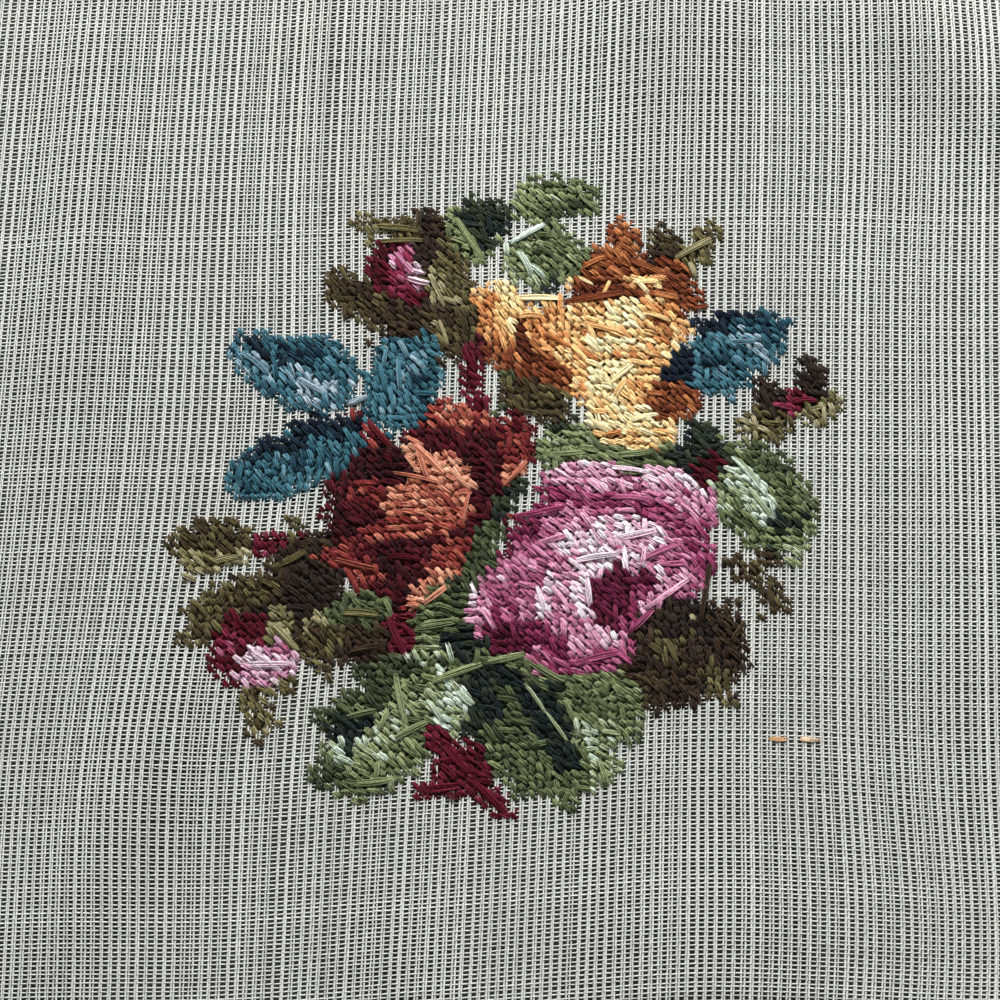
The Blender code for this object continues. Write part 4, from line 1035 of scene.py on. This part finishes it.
# one stitch for each cell of a wool, slanting across its crossing
def coverStitches(index, wool):
    i, j, u, v, shade = cellsOf(index, False)
    count, reach = len(i), 2 * chart["reach"]
    angle = stitchAngles(u, v, wool)
    over = rng.random(count) < stitching["overShare"]
    angle = np.where(over, angle + rng.normal(0, stitching["overTurn"], count), angle)
    bareSides = np.zeros(count)
    for du, dv in ((1, 0), (-1, 0), (0, 1), (0, -1)):
        bareSides += ~filled[np.clip(i + du, 0, reach), np.clip(j + dv, 0, reach)]
    half = np.clip(1 + rng.normal(0, stitching["longSpread"], count), *stitching["longLimits"])
    half = half * stitching["long"] / 2 * np.where(over, stitching["overLong"], 1.0)
    half = half * (1 - stitching["rimShort"] * np.minimum(bareSides, 2))
    u = u + rng.normal(0, stitching["placeSpread"][0], count)
    v = v + rng.normal(0, stitching["placeSpread"][1], count)
    start, end = stitchEnds(u, v, half * np.cos(angle), half * np.sin(angle))
    tone = (stitching["tone"][0] + stitching["tone"][1] * shade) * rng.normal(0, 1, count)
    spread, limits, sizes = stitching["sizeSpread"], stitching["sizeLimits"], []
    for size in (stitching["wide"], stitching["deep"]):
        sizes.append(size * np.clip(1 + rng.normal(0, spread, count), *limits))
    lift = stitching["lift"] + rng.uniform(stitching["liftFrom"], stitching["liftTo"], count)
    lift = lift + np.where(over, stitching["overLift"], 0.0)
    bow = rng.normal(0, stitching["bow"], count)
    strands = splitStrands(start, end, lift, np.full(count, stitching["dip"]), *sizes,
                           np.clip(shade + tone, 0, 1), bow, stitching["strands"], stitching["spacing"])
    return makeYarns(*strands, stitching)


faceStitching = {
    "half": 0.62,  # half length in cells, across and up
    "lift": 0.45 * mm,
    "rise": 0.15 * mm,  # its ends go up into the canvas
    "wide": 0.95 * mm,
    "deep": 0.30 * mm,
    # painted shade: the worked face, lying under the canvas, takes a darker step of its wool's shades
    "tone": 0.9,
    "rings": 2,
    "sides": 3,
    "twist": 0,
}


# the worked face below: one flat slanting stitch for each crossing, in even rows, in a darker painted shade
# of its wool
def faceStitches(index):
    i, j, u, v, shade = cellsOf(index, False)
    face, same = faceStitching, np.ones(len(i))
    start, end = stitchEnds(u, v, face["half"], face["half"])
    return makeYarns(start, end, same * face["lift"], same * -face["rise"], same * face["wide"],
                     same * face["deep"], shade * face["tone"], same * 0.0, face)


dotStitching = {
    "half": 0.44,  # half length, spread and lean in cells
    "placeSpread": 0.06,
    "tilt": 0.10,
    "lift": 1.40 * mm,
    "dip": 0.6 * mm,
    "wide": 0.34 * mm,
    "tone": 0.04,
    "strands": 3,
    "spacing": 0.46 * mm,
    "lap": 0.22 * mm,
    "rings": 3,
    "sides": 3,
    "twist": 0.22,
}


# dots: short upright stitches over one weft pair, the canvas showing between
def dotStitches(index):
    i, j, u, v, shade = cellsOf(index, True)
    dot, same, count = dotStitching, np.ones(len(i)), len(i)
    u = u + 0.5 + rng.normal(0, dot["placeSpread"], count)
    start, end = stitchEnds(u, v, rng.normal(0, dot["tilt"], count), dot["half"])
    shade = np.clip(shade + rng.normal(0, dot["tone"], count), 0, 1)
    strands = splitStrands(start, end, same * dot["lift"], same * dot["dip"], same * dot["wide"],
                           same * dot["wide"], shade, same * 0.0, dot["strands"], dot["spacing"])
    return makeYarns(*strands, dot)


# long floats that cross several stitches: u, v from, u, v to, shade, half width in mm
floats = {
    "wool_gold": (
        (1, 26, 7.5, 25.7, 0.97, 0.75), (7, 25.3, 15, 26.3, 0.20, 0.8),
        (15.5, 27.5, 19.5, 27.3, 0.74, 0.8), (12, 25.8, 13, 28, 0.72, 0.6),
        (1.5, 23.5, 5, 23.3, 0.62, 0.6), (9, 22.5, 15, 20.8, 0.66, 0.6),
        (9.7, 20.5, 12, 18.5, 0.95, 0.6), (13, 14.2, 16.2, 17, 0.96, 0.6),
        (13.8, 12.5, 15.3, 15, 0.74, 0.6), (11, 10, 14, 8, 0.95, 0.7), (8.9, 28.6, 11, 27.3, 1.0, 0.4),
        (16.8, 23.6, 20.6, 22.2, 0.76, 0.6), (4.6, 21.4, 8.6, 19.2, 0.44, 0.6),
        (18, 26, 21.6, 25.2, 0.40, 0.7), (16.2, 30, 19.4, 28.4, 0.30, 0.7),
        (9.4, 29.6, 12.4, 31, 0.32, 0.7), (15.6, 9.4, 19.4, 10.4, 0.97, 0.6),
        (3, 20.6, 6, 17.6, 0.30, 0.6),
    ),
    "wool_rust": (
        (-11.5, 8, -6.5, 3.2, 0.92, 0.8), (-10.6, 7.6, -8.4, 2.4, 0.80, 0.7),
        (-13.5, 4.2, -6.4, 2.2, 0.74, 0.6), (-17, 11.2, -13.4, 7, 0.30, 0.7),
        (-19, -6.2, -13.6, -8, 0.62, 0.7), (-6.6, 4.6, -3.2, 1.2, 0.86, 0.6),
        (-4, -3, -3.4, 1.4, 0.72, 0.5), (-8, -12.8, -4.8, -10.4, 0.90, 0.7),
        (0.6, 1.6, 3.6, 5, 0.72, 0.6), (-13, -6.4, -8.4, -7.2, 0.20, 0.7),
    ),
    "wool_pink": (
        (18, -14.8, 23.5, -10.8, 0.66, 0.8), (17, -17.3, 19.4, -14.6, 0.34, 0.7),
        (2, -2.2, 9, -1.2, 0.26, 0.8), (10, -21.3, 16, -20, 0.30, 0.8),
        (13.4, -0.2, 19.4, -0.8, 0.40, 0.8), (14, -5.6, 20, -4.4, 0.90, 0.8),
        (9.6, -8.2, 15.4, -7.4, 0.98, 0.8), (17.4, -8.6, 22.6, -6.4, 0.44, 0.8),
        (5.4, -11, 6.8, -14.8, 0.96, 0.6), (11.4, -10.2, 12, -14.4, 0.94, 0.6),
        (5.4, -5.8, 9.4, -4.8, 0.60, 0.7), (13.6, 3.6, 17.8, 3, 0.92, 0.7),
    ),
    "wool_green": (
        (0.3, 33.3, 5, 35.8, 0.98, 0.9), (0, 33.5, 0.2, 31.5, 0.95, 0.8),
        (1.3, 32.5, 3.3, 28.7, 0.97, 0.8), (3, 30.5, 5, 28.3, 0.96, 0.6),
        (-6.5, 37.5, -2.5, 31, 0.60, 0.8), (-6.5, -22.5, 0, -20.4, 0.66, 0.9),
        (-0.5, -20.5, 4.8, -19.6, 0.62, 0.9), (4.5, -20, 9.5, -23.5, 0.60, 0.8),
        (-10.5, -20.5, -8.5, -28, 0.68, 0.8), (-12, -28, -11, -25, 0.64, 0.7),
        (-10, -29, -6, -27, 0.68, 0.8), (-16, -26, -12, -25.3, 0.50, 0.8),
        (-15, -34, -9, -33.7, 0.60, 0.8), (28, 4.8, 31.6, 0.6, 0.95, 0.8),
        (30, 0.8, 33.2, -3.4, 0.90, 0.7), (4.5, -23, 7.4, -27.4, 0.78, 0.5),
        (7.2, -26.8, 10, -31, 0.76, 0.5), (5, 5.6, 11, 5.8, 0.60, 0.8), (14, 5.2, 19, 5.6, 0.56, 0.8),
        (-8.6, -15.6, -3.6, -15, 0.56, 0.8), (-3.2, -23.6, -1, -25.6, 0.98, 0.8),
        (-6.6, -24.4, -4.4, -27.6, 0.92, 0.7),
    ),
    "wool_olive": (
        (20.5, 30.3, 25.5, 33, 0.86, 0.9), (-16.5, 36.5, -10.5, 35.5, 0.66, 0.9),
        (-16, 34.3, -10, 34.2, 0.56, 0.8), (-26.3, -7, -22, -4.8, 0.70, 0.7),
        (26, -8, 24.8, -17, 0.24, 0.7), (-9.4, 29, -7.6, 25, 0.97, 0.6),
        (-8.4, 23.8, -7.2, 20, 0.90, 0.6), (-25.2, -13.6, -21.4, -17.6, 0.86, 0.8),
        (-33, -6.2, -29.6, -5.4, 0.88, 0.8), (21, -18.4, 22.4, -22, 0.60, 0.7),
        (-17.6, -13, -12.6, -13.8, 0.72, 0.8), (-16, -18, -11.4, -17.6, 0.30, 0.8),
    ),
    "wool_teal": (
        (-19.5, 13.2, -16.8, 14, 0.98, 0.7), (-25.4, 17.2, -21.6, 14.6, 0.97, 0.7),
        (-32, 20.6, -28.6, 17.4, 0.84, 0.7), (-13.4, 19, -13, 14.4, 0.80, 0.7),
        (-15.8, 18.6, -14.4, 14, 0.68, 0.7), (27, 19.4, 31, 19.6, 0.88, 0.7),
    ),
    "wool_burgundy": (
        (-5.2, 20.6, -3.6, 17, 0.22, 0.8), (-4.4, -30, -1, -34, 0.26, 0.9),
        (-1.6, -34, 3.6, -39.4, 0.22, 0.9), (-7, -35.4, -2, -35.2, 0.26, 0.9),
        (-12, -13.4, -9, -19.6, 0.28, 0.8), (-27.4, -18.6, -22, -18.8, 0.92, 0.8),
        (-27, -17, -23, -20, 0.97, 0.6), (-12.4, 29.4, -9.4, 28.4, 0.98, 0.7),
        (-14, 33, -11.4, 29.6, 0.66, 0.6), (35, 11.6, 38.4, 11.8, 0.30, 0.7),
    ),
    "tacking_cotton": (
        (32.9, -31.2, 35.2, -31.2, 0.35, 0.56), (36.4, -31.1, 39, -31.2, 0.85, 0.58),
    ),
}


floatYarn = {
    "lift": 1.85 * mm,
    "tackingLift": 1.45 * mm,
    "deep": 0.36 * mm,
    "tackingDeep": 0.24 * mm,
    "dip": 0.8 * mm,
    "bow": 0.25 * mm,
    "strands": 4,
    "strandWide": 0.42,  # of a strand and between strands, as shares of the half width
    "spacing": 0.55,
    "rings": 6,
    "sides": 3,
    "twist": 0.22,
}


# floats of one wool, each split into strands
def floatYarns(wool):
    u0, v0, u1, v1, shade, half = np.array(floats[wool], dtype=float).T
    start = np.stack(chartPlace(u0, v0), axis=1)
    end = np.stack(chartPlace(u1, v1), axis=1)
    same, wide, low = np.ones(len(u0)), half * mm, wool == "tacking_cotton"
    lift = same * floatYarn["tackingLift" if low else "lift"]
    deep = same * floatYarn["tackingDeep" if low else "deep"]
    bow = rng.normal(0, floatYarn["bow"], len(u0))
    strands = splitStrands(start, end, lift, same * floatYarn["dip"], wide * floatYarn["strandWide"], deep,
                           shade, bow, floatYarn["strands"], wide[:, None] * floatYarn["spacing"])
    return makeYarns(*strands, floatYarn)


looseHair = {
    "share": 0.30,  # of the stitches
    "reach": (0.6, 1.5),  # in cells
    "lift": (1.7 * mm, 2.3 * mm),
    "dip": 0.5 * mm,
    "thick": 0.055 * mm,
    "bow": 0.5 * mm,
    "paler": 0.12,
    "rings": 3,
    "sides": 3,
    "twist": 0,
}


# loose hairs: thin three-sided yarns that start in a stitch and bow away from it
def looseHairs(index):
    i, j = np.nonzero(cellWool == index)
    pick = rng.random(len(i)) < looseHair["share"]
    i, j = i[pick], j[pick]
    u, v, count, same = gridU[i, j], gridV[i, j], len(i), np.ones(len(i))
    turn = rng.uniform(0, 2 * math.pi, count)
    reach = rng.uniform(*looseHair["reach"], count)
    start = np.stack(chartPlace(u, v), axis=1)
    end = np.stack(chartPlace(u + reach * np.cos(turn), v + reach * np.sin(turn)), axis=1)
    lift = rng.uniform(*looseHair["lift"], count)
    bow = rng.normal(0, looseHair["bow"], count)
    thick = same * looseHair["thick"]
    shade = np.clip(cellShade[i, j] + looseHair["paler"], 0, 1)
    return makeYarns(start, end, lift, same * looseHair["dip"], thick, thick, shade, bow, looseHair)


# solids that each wool's stitches replace
nodesOf = {
    "wool_gold": ("rose_gold",),
    "wool_rust": ("rose_rust",),
    "wool_pink": ("rose_pink",),
    "wool_teal": ("leaf_teal_outer", "leaf_teal_inner", "leaf_teal_lower", "leaf_teal_right"),
    "wool_green": (
        "leaf_crest", "leaf_crown_left", "leaf_crown_right", "leaf_band", "leaf_hollow", "leaf_right",
        "leaf_between", "leaf_base_left", "leaf_base_right", "leaf_base_middle",
    ),
    "wool_olive": (
        "leaf_lobe_left", "leaf_lobe_right", "sepal_arch", "sepal_spine", "sepal_outer", "leaf_shade",
        "twig_right", "twig_spur", "leaf_dark", "leaf_left", "twig_left", "sepal_left", "leaf_under_bud",
        "leaf_tip",
    ),
    "wool_burgundy": (
        "bud_upper", "bud_right", "bud_left", "stem_upper", "stem_left", "stem_middle", "stem_base",
        "stem_side",
    ),
    "tacking_cotton": ("tacking_inner", "tacking_outer"),
}


# each wool's floats, stitches, worked face, hairs and dots joined in one piece
def makeWools():
    for index, wool in enumerate(woolNames):
        parts = [floatYarns(wool)]
        if wool != "tacking_cotton":
            parts += [coverStitches(index, wool), faceStitches(index), looseHairs(index)]
            if (dotted & (cellWool == index)).any():
                parts.append(dotStitches(index))
        points, quads, tris, shade, uv = joinParts(parts)
        points[:, 2] = np.maximum(points[:, 2], stitching["lowest"])
        name = {"tacking_cotton": "tacking_stitches"}.get(wool, "stitches_" + wool[5:])
        piece = buildPiece(name, points, quads, tris, makeWoolMaterial(wool), {"shade": shade}, uv)
        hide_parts(*nodesOf[wool])
        print("wool:", name, len(quads) * 2 + len(tris), "triangles")


makeWools()

# floor, light and camera
stageLook = {
    "floor": (0.78, 0.78, 0.77, 1),
    "floorHalf": 1.5,
    "floorDrop": 0.4 * mm,
    "paintedShadow": (0.035, 0.037, 0.034, 1),  # painted shadow: a near-black floor colour under the cloth, standing in for the shade in the gap beneath it
    # the painted shadow begins this far inside the panel's edges and is full after the soft width
    "inset": 1.5 * mm,
    "soft": 2 * mm,
    "keyWatts": 32.5,
    "keyTurn": 50.0,  # degrees from straight down, light comes from the top edge's side
    "keyAway": 1.4,
    "keySize": (1.2, 0.6),
    "ambient": 0.27,
}


# a flat square, pale, with a soft-edged painted shadow, a dark floor colour that stays inside the panel's
# outline
def makeFloor():
    size, drop = stageLook["floorHalf"], stageLook["floorDrop"]
    mesh = bpy.data.meshes.new("floor")
    corner = [(-size, -size), (size, -size), (size, size), (-size, size)]
    mesh.from_pydata([(x, y, -drop) for x, y in corner], [], [(0, 1, 2, 3)])
    floor = bpy.data.objects.new("floor", mesh)
    bpy.context.scene.collection.objects.link(floor)
    material, tree, shader = newMaterial("paleFloorPaintedShadow", 0.9)
    split = tree.nodes.new("ShaderNodeSeparateXYZ")
    tree.links.new(tree.nodes.new("ShaderNodeTexCoord").outputs["Object"], split.inputs[0])
    # painted shadow: the floor colour turns dark inside the panel's outline, with a soft edge
    shadowMasks = []
    for axis, half in ((0, panel["width"] / 2), (1, panel["length"] / 2)):
        away = addMath(tree, "ABSOLUTE", split.outputs[axis], 0.0)
        inner = addMath(tree, "SUBTRACT", half - stageLook["inset"], away)
        shadowMasks.append(addMath(tree, "DIVIDE", inner, stageLook["soft"]))
    nearest = addMath(tree, "MINIMUM", shadowMasks[0], shadowMasks[1])
    mix = tree.nodes.new("ShaderNodeMix")
    mix.data_type = "RGBA"
    mix.inputs[6].default_value = stageLook["floor"]
    mix.inputs[7].default_value = stageLook["paintedShadow"]
    tree.links.new(nearest, mix.inputs["Factor"])
    tree.links.new(mix.outputs[2], shader.inputs["Base Color"])
    mesh.materials.append(material)


makeFloor()

world = bpy.data.worlds.new("softRoom")
bpy.context.scene.world = world
world.use_nodes = True
background = world.node_tree.nodes["Background"]
background.inputs["Color"].default_value = (1, 1, 1, 1)
background.inputs["Strength"].default_value = stageLook["ambient"]

keyData = bpy.data.lights.new("windowLight", "AREA")
keyData.shape = "RECTANGLE"
keyData.size, keyData.size_y = stageLook["keySize"]
keyData.energy = stageLook["keyWatts"]
keyLight = bpy.data.objects.new("windowLight", keyData)
bpy.context.scene.collection.objects.link(keyLight)
keyTurn = math.radians(stageLook["keyTurn"])
keyAway = stageLook["keyAway"]
keyLight.location = (0, keyAway * math.sin(keyTurn), keyAway * math.cos(keyTurn))
keyLight.rotation_euler = (-keyTurn, 0, 0)

view = {"tilt": 15.3, "away": 0.716, "lens": 86.4, "sensor": 36, "aim": (0.0, -0.009)}
cameraData = bpy.data.cameras.new("camera")
cameraData.lens = view["lens"]
cameraData.sensor_width = view["sensor"]
camera = bpy.data.objects.new("camera", cameraData)
bpy.context.scene.collection.objects.link(camera)
tilt = math.radians(view["tilt"])
aimX, aimY = view["aim"]
camera.location = (aimX, aimY - view["away"] * math.sin(tilt), view["away"] * math.cos(tilt))
camera.rotation_euler = (tilt, 0, 0)
bpy.context.scene.camera = camera
bpy.context.scene.view_settings.view_transform = "Standard"
print("stage: floor, light and camera placed")
